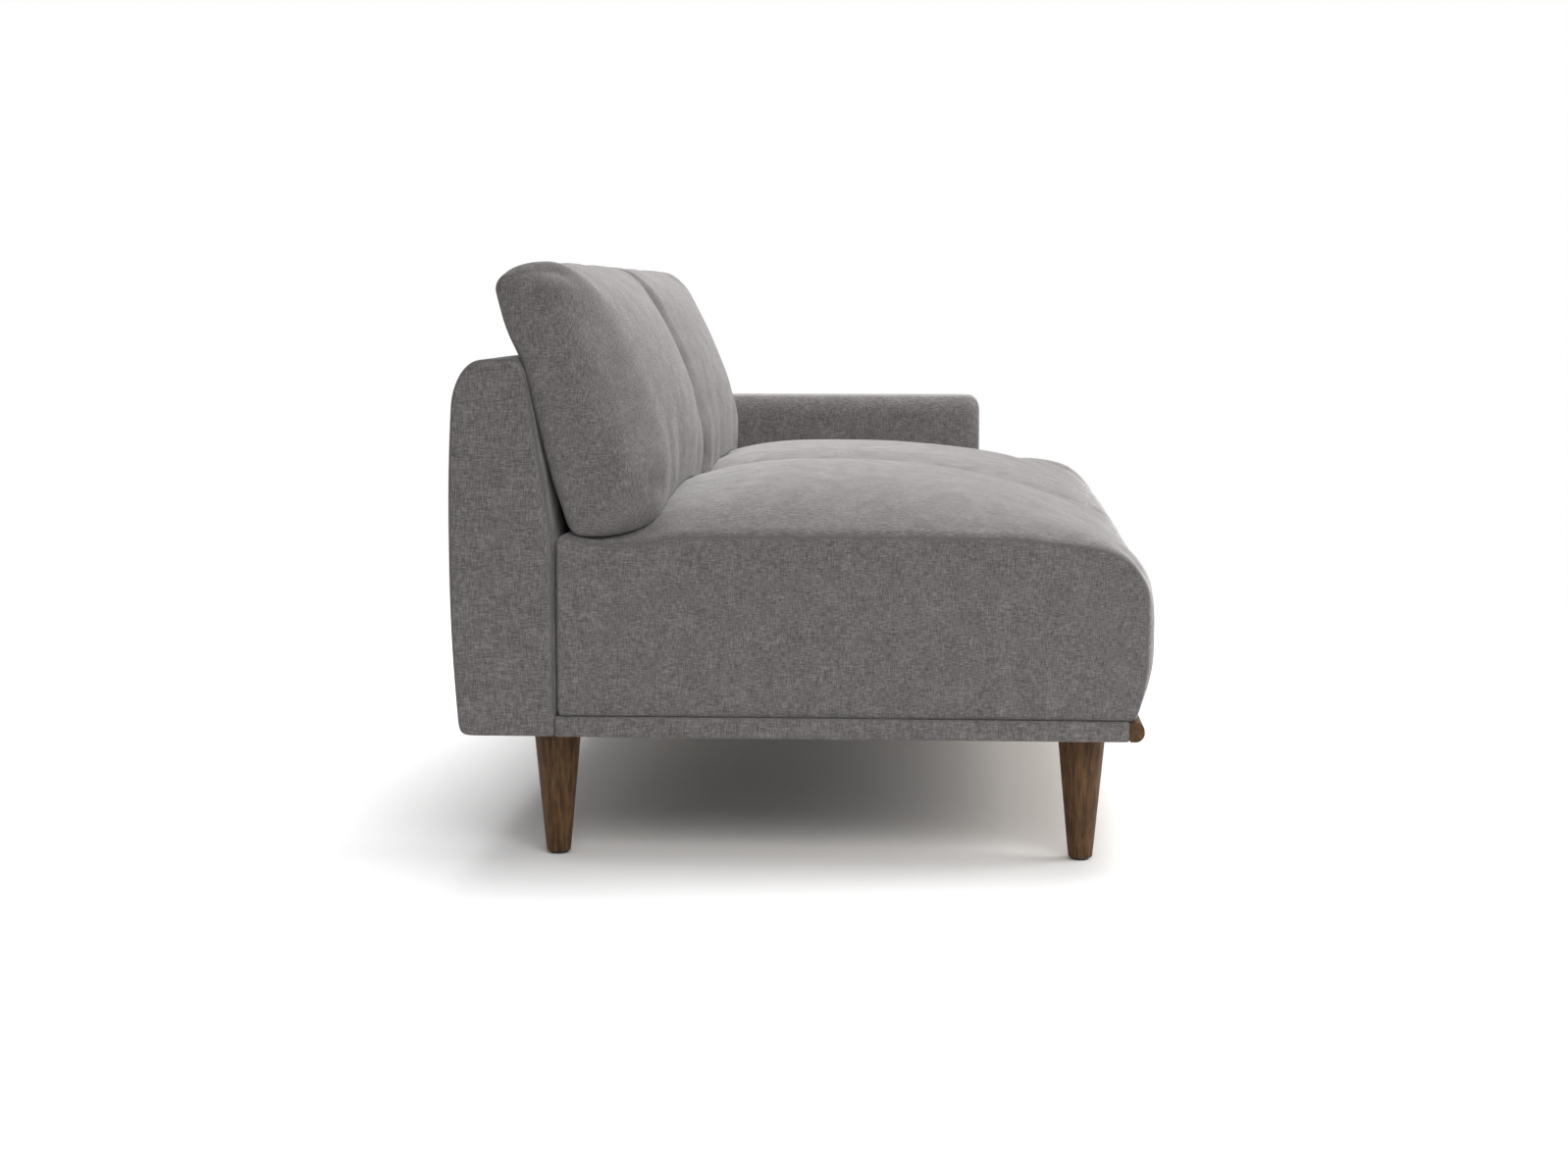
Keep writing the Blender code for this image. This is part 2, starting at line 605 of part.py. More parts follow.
top_rail_front = post_front + slope_at(top_rail_top)
top_rail_rear = top_rail_front + BACK_TOP_RAIL_DEPTH
back_bottom_rail = box(
    "back_bottom_rail",
    "frame_timber",
    (INNER_START, post_front, TIMBER_TOP + GAP),
    (INNER_END, post_rear, TIMBER_TOP + GAP + BACK_RAIL_HEIGHT),
)
box(
    "back_top_rail",
    "frame_timber",
    (INNER_START, top_rail_front, top_rail_top - BACK_RAIL_HEIGHT),
    (INNER_END, top_rail_rear, top_rail_top),
)
post_outline = [
    (post_front, post_bottom),
    (post_rear, post_bottom),
    (post_rear, KNEE),
    (top_rail_rear, post_top),
    (post_front + slope_at(post_top), post_top),
    (post_front, KNEE),
]
for name, post_start in (
    ("back_post_open", INNER_START),
    ("back_post_centre", SPLIT - POST_WIDTH / 2),
    ("back_post_arm", INNER_END - POST_WIDTH),
):
    prism(name, "frame_timber", post_outline, post_start, post_start + POST_WIDTH)
board_outline = [
    (board_front, post_bottom),
    (board_front + BOARD, post_bottom),
    (board_front + BOARD, KNEE),
    (board_front + BOARD + slope_at(board_top), board_top),
    (board_front + slope_at(board_top), board_top),
    (board_front, KNEE),
]
prism("back_board", "fibre_board", board_outline, INNER_START, INNER_END)


def frame_bolt(name, spot, shank_top, diameter):
    """A bolt put in from below, its head sunk into the rail, and the holes that it needs in that rail."""
    head_bottom = TIMBER_BOTTOM + GAP
    head_top = head_bottom + BOLT_HEAD_HEIGHT
    profile = [
        (0.0, shank_top),
        (diameter / 2, shank_top),
        (diameter / 2, head_top),
        (BOLT_HEAD_DIAMETER / 2, head_top),
        (BOLT_HEAD_DIAMETER / 2, head_bottom),
        (0.0, head_bottom),
    ]
    turned(name, "zinc_steel", profile, 12, (*spot, 0.0))
    head_hole = (*spot, LEG_HEIGHT - GAP, head_top + GAP, BOLT_HEAD_DIAMETER + 2 * GAP)
    shank_hole = (*spot, LEG_HEIGHT, shank_top + GAP, diameter + 2 * GAP)
    return [head_hole, shank_hole]


back_bolt_y = (post_front + post_rear) / 2
back_bolt_top = TIMBER_TOP + GAP + BOLT_GRIP
rear_holes = list(leg_holes["rear"])
bottom_rail_holes = []
for name, bolt_x in (("back_bolt_open", OPEN_END + BACK_BOLT_INSET), ("back_bolt_arm", ARM_END - BACK_BOLT_INSET)):
    holes = frame_bolt(name, (bolt_x, back_bolt_y), back_bolt_top, BACK_BOLT_DIAMETER)
    rear_holes += holes
    bottom_rail_holes.append(holes[1])
bore(rear_rail, rear_holes)
bore(back_bottom_rail, bottom_rail_holes)

# Arm cover: fabric over padding, standing on the platform against the front of the back
ARM_BOTTOM = PLATFORM_TOP + GAP
arm_rear = BACK_FRONT - GAP
arm_corners = [
    (ARM_FRONT, ARM_BOTTOM, 0.0),
    (ARM_FRONT, ARM_TOP, ARM_ROUND),
    (arm_rear + slope_at(ARM_TOP), ARM_TOP, 0.0),
    (arm_rear, KNEE, 0.0),
    (arm_rear, ARM_BOTTOM, 0.0),
]
arm_outline = rounded(arm_corners, 5)
bm = swept(arm_outline, [ARM_INNER, ARM_INNER + PADDED_EDGE, ARM_END - PADDED_EDGE, ARM_END])
for vert in bm.verts:
    on_side = min(abs(vert.co.x - ARM_INNER), abs(vert.co.x - ARM_END)) < GAP
    if on_side and vert.co.z > ARM_TOP - ARM_ROUND - GAP:
        vert.co.z -= EDGE_DROP
        vert.co.y -= EDGE_DROP * math.tan(BACK_SLOPE)
    if on_side and vert.co.y < ARM_FRONT + ARM_ROUND / 2:
        vert.co.y += EDGE_DROP
arm_cover = place(mesh_from(bm, "arm_cover"), "arm_cover", "grey_fabric")
arm_room = inset_line(arm_outline, PADDING)
arm_room = [(arm_room[0][0], below), *arm_room, (arm_room[-1][0], below)]
cut_by(arm_cover, swept(arm_room, [ARM_INNER + PADDING, ARM_END - PADDING]), "room")

# Arm frame: bottom rail, two posts and a top rail inside the cover
arm_low_x = ARM_INNER + PADDING + GAP
arm_high_x = ARM_END - PADDING - GAP
arm_low_y = ARM_FRONT + PADDING + GAP
arm_high_y = arm_rear - PADDING - GAP
arm_rail_top = ARM_BOTTOM + ARM_TIMBER
arm_beam_top = ARM_TOP - PADDING - GAP
arm_beam_bottom = arm_beam_top - ARM_TIMBER
arm_bottom_rail = box(
    "arm_bottom_rail", "frame_timber", (arm_low_x, arm_low_y, ARM_BOTTOM), (arm_high_x, arm_high_y, arm_rail_top)
)
box(
    "arm_top_rail",
    "frame_timber",
    (arm_low_x, arm_low_y + ARM_ROUND, arm_beam_bottom),
    (arm_high_x, arm_high_y, arm_beam_top),
)
for name, post_start in (
    ("arm_front_post", arm_low_y + ARM_ROUND),
    ("arm_rear_post", arm_high_y - ARM_TIMBER),
):
    box(
        name,
        "frame_timber",
        (arm_low_x, post_start, arm_rail_top + GAP),
        (arm_high_x, post_start + ARM_TIMBER, arm_beam_bottom - GAP),
    )
arm_rail_holes = []
arm_bottom_holes = []
for name, bolt_y in (
    ("arm_bolt_front", arm_low_y + 2 * ARM_TIMBER),
    ("arm_bolt_rear", arm_high_y - 2 * ARM_TIMBER),
):
    holes = frame_bolt(name, (ARM_END - ARM_BOLT_INSET, bolt_y), ARM_BOTTOM + BOLT_GRIP, ARM_BOLT_DIAMETER)
    arm_rail_holes += holes
    arm_bottom_holes.append(holes[1])
bore(arm_rail, arm_rail_holes)
bore(arm_bottom_rail, arm_bottom_holes)

# Hooks: flat steel bars that swing out from under the open end to catch the next section
half_hook = HOOK_WIDTH / 2
half_slot = HOOK_SLOT / 2
hook_outline = arc((0.0, 0.0), (half_hook, half_hook), 90, 270, 10)
hook_outline += [(HOOK_LENGTH - half_slot, -half_hook)]
hook_outline += arc((HOOK_LENGTH, 0.0), (half_slot, half_slot), 180, 0, 6)
hook_outline += [(HOOK_LENGTH + half_slot, -half_hook)]
hook_outline += arc((HOOK_LENGTH + half_slot, 0.0), (half_hook, half_hook), -90, 90, 8)[1:]
pivot_hole = arc((0.0, 0.0), (HOOK_PIVOT_DIAMETER / 2 + GAP,) * 2, 0, 345, 23)
hook_top = PLATFORM_BOTTOM - HOOK_CLEARANCE
hook_bottom = hook_top - HOOK_THICKNESS
pivot_profile = [
    (0.0, TIMBER_BOTTOM + HOOK_PIVOT_GRIP),
    (HOOK_PIVOT_DIAMETER / 2, TIMBER_BOTTOM + HOOK_PIVOT_GRIP),
    (HOOK_PIVOT_DIAMETER / 2, TIMBER_BOTTOM - GAP),
    (HOOK_PIVOT_COLLAR / 2, TIMBER_BOTTOM - GAP),
    (HOOK_PIVOT_COLLAR / 2, hook_top + GAP),
    (HOOK_PIVOT_DIAMETER / 2, hook_top + GAP),
    (HOOK_PIVOT_DIAMETER / 2, hook_bottom - GAP),
    (HOOK_PIVOT_HEAD / 2, hook_bottom - GAP),
    (HOOK_PIVOT_HEAD / 2, hook_bottom - GAP - HOOK_THICKNESS),
    (0.0, hook_bottom - GAP - HOOK_THICKNESS),
]
hook_x = OPEN_END + HOOK_INSET
pivot_holes = []
for row, hook_y in (("front", TRIM_NOSE + HOOK_FRONT), ("rear", TRIM_NOSE + HOOK_FRONT + HOOK_SPACING)):
    pivot = body_origin(f"hook_{row}_pivot", (hook_x, hook_y, (hook_top + hook_bottom) / 2))
    pivot.rotation_euler = (0.0, 0.0, math.radians(90))
    place(flat_curve(f"hook_{row}", [hook_outline, pivot_hole], HOOK_THICKNESS), f"hook_{row}", "zinc_steel", pivot)
    turned(f"hook_screw_{row}", "zinc_steel", pivot_profile, 12, (hook_x, hook_y, 0.0))
    screw_top = TIMBER_BOTTOM + HOOK_PIVOT_GRIP + GAP
    pivot_holes.append((hook_x, hook_y, LEG_HEIGHT, screw_top, HOOK_PIVOT_DIAMETER + 2 * GAP))
bore(open_rail, pivot_holes)


# Cushions: inset and facet of the outside of a cover, of its inside and of its foam
CUSHION_LAYERS = ((0.0, CUSHION_STEP), (COVER_WALL, FOAM_STEP), (COVER_WALL + FOAM_SLACK, FOAM_STEP))


def swell(distance, reach):
    """How far a filled cover has risen at a distance from its seam: 0 on the seam, 1 at its reach."""
    return math.sin(math.pi / 2 * min(max(distance / reach, 0.0), 1.0))


def seat_crown(x, y, start, end, inset, ear):
    """Rise of a seat cushion's top above its end seam; an ear stops short of the arm."""
    half_width = SEAT_WIDTH / 2
    half_depth = (SEAT_REAR - FRONT) / 2
    rise = SEAT_CROWN * swell(x - start, half_width) * swell(end - x, half_width)
    rise *= swell(y - FRONT - inset, half_depth) * swell(SEAT_REAR - inset - y, half_depth)
    if ear:
        past_arm = max(ARM_INNER - CUSHION_CLEARANCE - x, EAR_REAR - y)
        rise *= swell(past_arm - inset, half_width)
    return rise


def seat_outline(inset, floor):
    """End panel of a seat cushion as a (y, z) outline, drawn in by an inset from a floor height."""
    top = SEAM - inset
    front = FRONT + inset
    rear = SEAT_REAR - inset
    corners = [
        (rear, floor, SEAT_REAR_ROUND),
        (rear, top, 2 * SEAT_REAR_ROUND),
        (EAR_REAR - inset, top, 0.0),
        (FRONT + SEAT_FALL_START, top, 0.0),
        (front, top - SEAT_FRONT_FALL, SEAT_FRONT_ROUND - inset),
        (front, PLATFORM_TOP + SEAT_TUCK_START, 0.0),
        (front + SEAT_FRONT_TUCK, floor, SEAT_REAR_ROUND),
        (EAR_REAR - inset, floor, 0.0),
    ]
    return divided(rounded(corners, 4), CUSHION_STEP)


def grow_ear(bm, end, stations, inset):
    """Carries the front of a seat cushion's end panel on past the arm through more stations."""
    tips = [vert for vert in bm.verts if abs(vert.co.x - end) < GAP and abs(vert.co.y - EAR_REAR + inset) < GAP]
    panel = next(face for face in tips[0].link_faces if tips[1] in face.verts and abs(face.normal.x) > 0.9)
    bmesh.utils.face_split(panel, tips[0], tips[1])
    on_end = [face for face in bm.faces if abs(face.calc_center_median().x - end) < GAP]
    ear = min(on_end, key=lambda face: face.calc_center_median().y)
    for here, there in zip([end, *stations], stations):
        grown = bmesh.ops.extrude_face_region(bm, geom=[ear])["geom"]
        points = [item for item in grown if isinstance(item, bmesh.types.BMVert)]
        bmesh.ops.translate(bm, vec=(there - here, 0.0, 0.0), verts=points)
        bmesh.ops.delete(bm, geom=[ear], context="FACES_ONLY")
        ear = next(item for item in grown if isinstance(item, bmesh.types.BMFace))
    bmesh.ops.recalc_face_normals(bm, faces=bm.faces)


def seat_form(start, end, ear_end, inset, floor, step):
    """A filled seat cushion, crowned, its end panels drawn in; ear_end is where an ear ends, or None."""
    edge = 2 * SEAT_REAR_ROUND
    stations = [start, *evenly(start + edge, end - edge, step), end]
    bm = swept(seat_outline(inset, floor), stations)
    if ear_end:
        grow_ear(bm, end, [ear_end - edge, ear_end], inset)
    last = ear_end or end
    middle_y = (FRONT + SEAT_REAR) / 2
    for vert in bm.verts:
        x, y, z = vert.co
        share = min(max((z - SEAM + inset) / SEAT_FRONT_ROUND + 1.0, 0.0), 1.0)
        vert.co.z += share * seat_crown(x, y, start, last, inset, bool(ear_end))
        waist = SEAT_WAIST * max(0.0, 1 - ((y - middle_y) / (DEPTH / 2)) ** 2) * (1 - share)
        if abs(x - start) < GAP:
            vert.co.x += waist
        if abs(x - last) < GAP:
            vert.co.x -= waist
    bmesh.ops.triangulate(bm, faces=bm.faces, quad_method="FIXED", ngon_method="EAR_CLIP")
    return bm


def zip_span(start, end):
    """Where a zip of the stated length starts and ends, centred between two ends."""
    middle = (start + end) / 2
    return middle - ZIP_LENGTH / 2, middle + ZIP_LENGTH / 2


def fit_zip(cover, prefix, end_name, span, height):
    """Slots the rear of a cover for its zip, and fits the zip, teeth outwards, and the slider on the teeth."""
    start, end = span
    carrier = cover.parent
    half_slot = ZIP_SLOT / 2
    slot = block((start, -2 * COVER_WALL, height - half_slot), (end, COVER_WALL, height + half_slot))
    cut_by(cover, slot, "zip_slot")
    tape_rear = -COVER_WALL + ZIP_TAPE
    teeth_rear = tape_rear + ZIP_TEETH_HEIGHT
    half_tape = half_slot - GAP
    half_teeth = ZIP_TEETH_WIDTH / 2
    tape_outline = [
        (-COVER_WALL, height - half_tape),
        (tape_rear, height - half_tape),
        (tape_rear, height - half_teeth),
        (teeth_rear, height - half_teeth),
        (teeth_rear, height + half_teeth),
        (tape_rear, height + half_teeth),
        (tape_rear, height + half_tape),
        (-COVER_WALL, height + half_tape),
    ]
    prism(f"{prefix}_zip_{end_name}", "zip_tape", tape_outline, start + GAP, end - GAP, carrier)
    half_slider = SLIDER_WIDTH / 2
    half_groove = half_teeth + GAP
    slider_outline = [
        (tape_rear + GAP, -half_slider),
        (SLIDER_PROUD, -half_slider),
        (SLIDER_PROUD, half_slider),
        (tape_rear + GAP, half_slider),
        (tape_rear + GAP, half_groove),
        (teeth_rear + GAP, half_groove),
        (teeth_rear + GAP, -half_groove),
        (tape_rear + GAP, -half_groove),
    ]
    runner = body_origin(f"{prefix}_zip_runner_{end_name}", (start + SLIDER_END_MARGIN, 0.0, height))
    runner.parent = carrier
    name = f"{prefix}_zip_slider_{end_name}"
    slider = place(mesh_from(swept(slider_outline, [0.0, SLIDER_LENGTH]), name), name, "zinc_steel", runner)
    half_tab = SLIDER_TAB_WIDTH / 2
    tab_start = SLIDER_LENGTH / 2
    tab = block(
        (tab_start, SLIDER_PROUD / 4, -half_tab),
        (tab_start + SLIDER_TAB_LENGTH, SLIDER_PROUD * 3 / 4, half_tab),
    )
    cut_by(slider, tab, "tab", "UNION")


def seat_cushion(end_name, start, end, ear_end):
    """A seat cushion: zipped cover, foam core, zip and slider; ear_end is where an ear reaches."""
    floor = PLATFORM_TOP + GAP
    carrier = body_origin(f"seat_{end_name}", (start, SEAT_REAR, floor))
    to_carrier = Matrix.Translation(carrier.location).inverted()
    shapes = []
    for inset, step in CUSHION_LAYERS:
        ear = ear_end - inset if ear_end else None
        bm = seat_form(start + inset, end - inset, ear, inset, floor + inset, step)
        bm.transform(to_carrier)
        shapes.append(bm)
    name = f"seat_cover_{end_name}"
    cover = place(mesh_from(shapes[0], name), name, "grey_fabric", carrier)
    cut_by(cover, shapes[1], "room")
    name = f"seat_foam_{end_name}"
    place(mesh_from(shapes[2], name), name, "cream_foam", carrier)
    fit_zip(cover, "seat", end_name, zip_span(0.0, end - start), ZIP_HEIGHT_ON_SEAT)


SEAT_OPEN = (OPEN_END + SEAT_END_CLEARANCE, SPLIT - CUSHION_CLEARANCE / 2)
SEAT_ARM = (SPLIT + CUSHION_CLEARANCE / 2, ARM_INNER - CUSHION_CLEARANCE)
EAR_END = ARM_END - SEAT_END_CLEARANCE
seat_cushion("open", *SEAT_OPEN, None)
seat_cushion("arm", *SEAT_ARM, EAR_END)


def back_cushion_outline(inset):
    """End panel of a back cushion, upright, its rear face on y = 0; the front tapers towards the top."""
    taper = (BACK_CUSHION_FOOT - BACK_CUSHION_HEAD) / BACK_CUSHION_HEIGHT
    corners = [
        (-inset, inset, BACK_CUSHION_HEEL - inset),
        (-inset, BACK_CUSHION_HEIGHT - inset, BACK_CUSHION_BROW - inset),
        (-BACK_CUSHION_HEAD - taper * inset + inset, BACK_CUSHION_HEIGHT - inset, BACK_CUSHION_BROW - inset),
        (-BACK_CUSHION_FOOT + taper * inset + inset, inset, BACK_CUSHION_TOE - inset),
    ]
    return divided(rounded(corners, 4), CUSHION_STEP)


def back_cushion_form(width, inset, step, seat_top, to_world):
    """A filled back cushion, crowned in front, its bottom moulded over the seat cushion that it stands on."""
    edge = 2 * SEAT_REAR_ROUND
    stations = [inset, *evenly(inset + edge, width - inset - edge, step), width - inset]
    bm = swept(back_cushion_outline(inset), stations)
    to_local = to_world.inverted()
    for vert in bm.verts:
        x, y, z = vert.co
        ahead = min(max(-y / BACK_CUSHION_HEAD, 0.0), 1.0)
        height = swell(z, BACK_CUSHION_HEIGHT / 2) * swell(BACK_CUSHION_HEIGHT - z, BACK_CUSHION_HEIGHT / 3)
        across = swell(x - inset, SEAT_WIDTH / 3) * swell(width - inset - x, SEAT_WIDTH / 3)
        vert.co.y -= BACK_CUSHION_CROWN * ahead**2 * height * across
        world = to_world @ vert.co
        world.z = max(world.z, seat_top(world.x, world.y) + BACK_CUSHION_REST + inset)
        vert.co = to_local @ world
    bmesh.ops.triangulate(bm, faces=bm.faces, quad_method="FIXED", ngon_method="EAR_CLIP")
    return bm


def back_cushion(end_name, start, end, seat_top):
    """A back cushion that leans on the top front edge of the back: zipped cover, foam core, zip and slider."""
    upward = Matrix.Rotation(-BACK_CUSHION_LEAN, 2)
    lowest = min((upward @ Vector(point)).y for point in back_cushion_outline(0.0))
    foot = SEAM + BACK_CUSHION_REST - lowest
    rearward = upward @ Vector((1.0, 0.0))
    reach = min(rearward.dot(Vector((y, z - foot))) for y, z in back_wall if z > KNEE)
    carrier = body_origin(f"back_cushion_{end_name}", (start, (reach - GAP) / rearward.x, foot), BACK_CUSHION_LEAN)
    to_world = Matrix.Translation(carrier.location) @ Matrix.Rotation(-BACK_CUSHION_LEAN, 4, "X")
    width = end - start
    shapes = [back_cushion_form(width, inset, step, seat_top, to_world) for inset, step in CUSHION_LAYERS]
    name = f"back_cushion_cover_{end_name}"
    cover = place(mesh_from(shapes[0], name), name, "grey_fabric", carrier)
    cut_by(cover, shapes[1], "room")
    name = f"back_cushion_foam_{end_name}"
    place(mesh_from(shapes[2], name), name, "cream_foam", carrier)
    fit_zip(cover, "back_cushion", end_name, zip_span(0.0, width), ZIP_HEIGHT_ON_BACK)


def open_seat_top(x, y):
    return SEAM + seat_crown(x, y, *SEAT_OPEN, 0.0, False)


def arm_seat_top(x, y):
    return SEAM + seat_crown(x, y, SEAT_ARM[0], EAR_END, 0.0, True)


back_cushion("open", *SEAT_OPEN, open_seat_top)
back_cushion("arm", *SEAT_ARM, arm_seat_top)
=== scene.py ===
"""Looks of a two-place modular sofa section with one low arm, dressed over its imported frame."""

import math

import bmesh
import bpy
import numpy as np
from mathutils import Matrix, Vector, noise


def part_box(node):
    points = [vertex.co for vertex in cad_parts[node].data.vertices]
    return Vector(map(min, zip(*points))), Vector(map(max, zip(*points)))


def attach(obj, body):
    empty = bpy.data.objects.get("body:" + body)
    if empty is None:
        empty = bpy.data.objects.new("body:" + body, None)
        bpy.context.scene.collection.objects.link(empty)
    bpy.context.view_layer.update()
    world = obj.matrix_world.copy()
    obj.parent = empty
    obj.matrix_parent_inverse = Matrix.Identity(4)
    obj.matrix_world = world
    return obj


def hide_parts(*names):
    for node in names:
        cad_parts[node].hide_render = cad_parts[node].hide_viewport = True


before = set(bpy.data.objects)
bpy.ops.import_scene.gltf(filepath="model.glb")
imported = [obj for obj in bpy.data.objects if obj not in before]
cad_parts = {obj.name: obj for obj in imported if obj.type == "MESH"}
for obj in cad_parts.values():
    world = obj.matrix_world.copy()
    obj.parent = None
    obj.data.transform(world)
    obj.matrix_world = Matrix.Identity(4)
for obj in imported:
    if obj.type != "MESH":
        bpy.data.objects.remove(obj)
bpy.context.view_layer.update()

# Platform and inner frame: sawn softwood rails and posts, with a thin pressed board down the back.
# They are glued and stapled, and show only from underneath or with the cushions off.
PINE_PALE = (0.62, 0.45, 0.26)
PINE_MIDDLE = (0.52, 0.36, 0.20)
PINE_DARK = (0.36, 0.22, 0.11)
BOARD_DARK = (0.20, 0.12, 0.06)
BOARD_PALE = (0.36, 0.24, 0.13)


def fresh_material(name):
    """A new node material, its node tree and its shader."""
    material = bpy.data.materials.new(name)
    material.use_nodes = True
    return material, material.node_tree, material.node_tree.nodes["Principled BSDF"]


def streaks(tree, per_metre, detail=3.0, warp=0.0):
    """Noise with its own number of spots per metre along each axis, for grain, yarn and wear."""
    place = tree.nodes.new("ShaderNodeTexCoord")
    stretch = tree.nodes.new("ShaderNodeMapping")
    stretch.inputs["Scale"].default_value = per_metre
    spots = tree.nodes.new("ShaderNodeTexNoise")
    spots.inputs["Scale"].default_value = 1.0
    spots.inputs["Detail"].default_value = detail
    spots.inputs["Distortion"].default_value = warp
    tree.links.new(place.outputs["Object"], stretch.inputs["Vector"])
    tree.links.new(stretch.outputs["Vector"], spots.inputs["Vector"])
    return spots.outputs["Fac"]


def shades(tree, value, stops):
    """Colours laid along a value, each given with the value it stands at."""
    ramp = tree.nodes.new("ShaderNodeValToRGB")
    elements = ramp.color_ramp.elements
    while len(elements) < len(stops):
        elements.new(0.5)
    for element, (position, colour) in zip(elements, stops):
        element.position = position
        element.color = (*colour, 1.0)
    tree.links.new(value, ramp.inputs["Fac"])
    return ramp.outputs["Color"]


def levels(tree, value, low, high):
    """A noise value, mostly 0.3 to 0.7, spread between two levels, for roughness and the like."""
    spread = tree.nodes.new("ShaderNodeMapRange")
    spread.inputs["From Min"].default_value = 0.3
    spread.inputs["From Max"].default_value = 0.7
    spread.inputs["To Min"].default_value = low
    spread.inputs["To Max"].default_value = high
    tree.links.new(value, spread.inputs["Value"])
    return spread.outputs["Result"]


def relief(tree, shader, height, depth, strength=1.0):
    """Raises the surface by a height value, depth metres from low to high."""
    bump = tree.nodes.new("ShaderNodeBump")
    bump.inputs["Distance"].default_value = depth
    bump.inputs["Strength"].default_value = strength
    tree.links.new(height, bump.inputs["Height"])
    tree.links.new(bump.outputs["Normal"], shader.inputs["Normal"])


def softwood(name, grain):
    """Sawn softwood with its grain drawn out along one axis."""
    material, tree, shader = fresh_material(name)
    figure = streaks(tree, grain, detail=6.0, warp=1.4)
    stops = [(0.34, PINE_DARK), (0.50, PINE_MIDDLE), (0.66, PINE_PALE)]
    tree.links.new(shades(tree, figure, stops), shader.inputs["Base Color"])
    tree.links.new(levels(tree, figure, 0.62, 0.85), shader.inputs["Roughness"])
    relief(tree, shader, figure, depth=0.0008)
    return material


def dress(material, *node_names):
    """Gives CAD nodes their finish."""
    for name in node_names:
        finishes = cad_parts[name].data.materials
        finishes.clear()
        finishes.append(material)


pine_along = softwood("pine_along_sofa", (3, 90, 90))
dress(pine_along, "front_rail", "rear_rail", "back_bottom_rail", "back_top_rail")
dress(softwood("pine_front_to_rear", (90, 3, 90)), "end_rail_open", "end_rail_arm", "centre_rail")
dress(softwood("pine_in_arm", (90, 4, 90)), "arm_bottom_rail", "arm_top_rail")
dress(softwood("pine_upright", (90, 90, 4)), "back_post_open", "back_post_centre", "back_post_arm")
dress(softwood("pine_arm_posts", (90, 90, 5)), "arm_front_post", "arm_rear_post")

fibre_board, tree, shader = fresh_material("fibre_board")
fibres = streaks(tree, (400, 400, 400), detail=5.0)
board_stops = [(0.35, BOARD_DARK), (0.65, BOARD_PALE)]
tree.links.new(shades(tree, fibres, board_stops), shader.inputs["Base Color"])
tree.links.new(levels(tree, fibres, 0.55, 0.75), shader.inputs["Roughness"])
relief(tree, shader, fibres, depth=0.0003)
dress(fibre_board, "back_board")


# Dust cloth: a thin black unwoven cloth over the underside of the platform.
# It is stapled to the rails round its edge, puckers at the staples and hangs a little in the middle.
DUST_SAG = 0.005
STAPLE_PITCH = 0.070
PUCKER = 0.0012
PUCKER_REACH = 0.060
DUST_GAP = 0.0003
DUST_DARK = (0.010, 0.010, 0.011)
DUST_PALE = (0.026, 0.026, 0.028)


def new_piece(name, bm, material, body):
    """Makes a named piece of a mesh, smooth, in its finish and riding on its body."""
    bmesh.ops.recalc_face_normals(bm, faces=bm.faces)
    mesh = bpy.data.meshes.new(name)
    bm.to_mesh(mesh)
    bm.free()
    mesh.shade_smooth()
    mesh.materials.append(material)
    piece = bpy.data.objects.new(name, mesh)
    bpy.context.scene.collection.objects.link(piece)
    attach(piece, body)
    return piece


dust_material, tree, shader = fresh_material("dust_cloth")
felted = streaks(tree, (500, 500, 500), detail=4.0)
dust_stops = [(0.35, DUST_DARK), (0.65, DUST_PALE)]
tree.links.new(shades(tree, felted, dust_stops), shader.inputs["Base Color"])
tree.links.new(levels(tree, felted, 0.8, 0.95), shader.inputs["Roughness"])
relief(tree, shader, felted, depth=0.0005)

dust_low, dust_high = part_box("dust_cloth")
dust_span = dust_high - dust_low
bm = bmesh.new()
bmesh.ops.create_grid(bm, x_segments=90, y_segments=45, size=0.5)
for vert in bm.verts:
    x = dust_low.x + dust_span.x * (vert.co.x + 0.5)
    y = dust_low.y + dust_span.y * (vert.co.y + 0.5)
    from_edge = min(x - dust_low.x, dust_high.x - x, y - dust_low.y, dust_high.y - y)
    near_edge = math.exp(-from_edge / PUCKER_REACH)
    along = x if min(y - dust_low.y, dust_high.y - y) < min(x - dust_low.x, dust_high.x - x) else y
    pucker = PUCKER * near_edge * (0.5 - 0.5 * math.cos(math.tau * along / STAPLE_PITCH))
    belly = math.sin(math.pi * (vert.co.x + 0.5)) * math.sin(math.pi * (vert.co.y + 0.5))
    vert.co = Vector((x, y, dust_high.z - DUST_GAP - pucker - DUST_SAG * belly))
dust_sheet = new_piece("dust_sheet", bm, dust_material, "frame")
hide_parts("dust_cloth")


# Webbing: black elastic straps, woven over and under each other and stapled to the rails.
# Five run from front to rear under each place and six run across them.
STRAP_WIDTH = 0.050
STRAP_THICKNESS = 0.0007
STRAP_STEP = 0.010
STRAPS_DEEP = 5
STRAPS_ACROSS = 6
STRAP_LIFT = 0.8  # rise at a crossing, in strap thicknesses
STRAP_DARK = (0.010, 0.010, 0.011)
STRAP_PALE = (0.040, 0.039, 0.038)
RIB_SCALE = 160.0
RIB_WAVER = 1.5

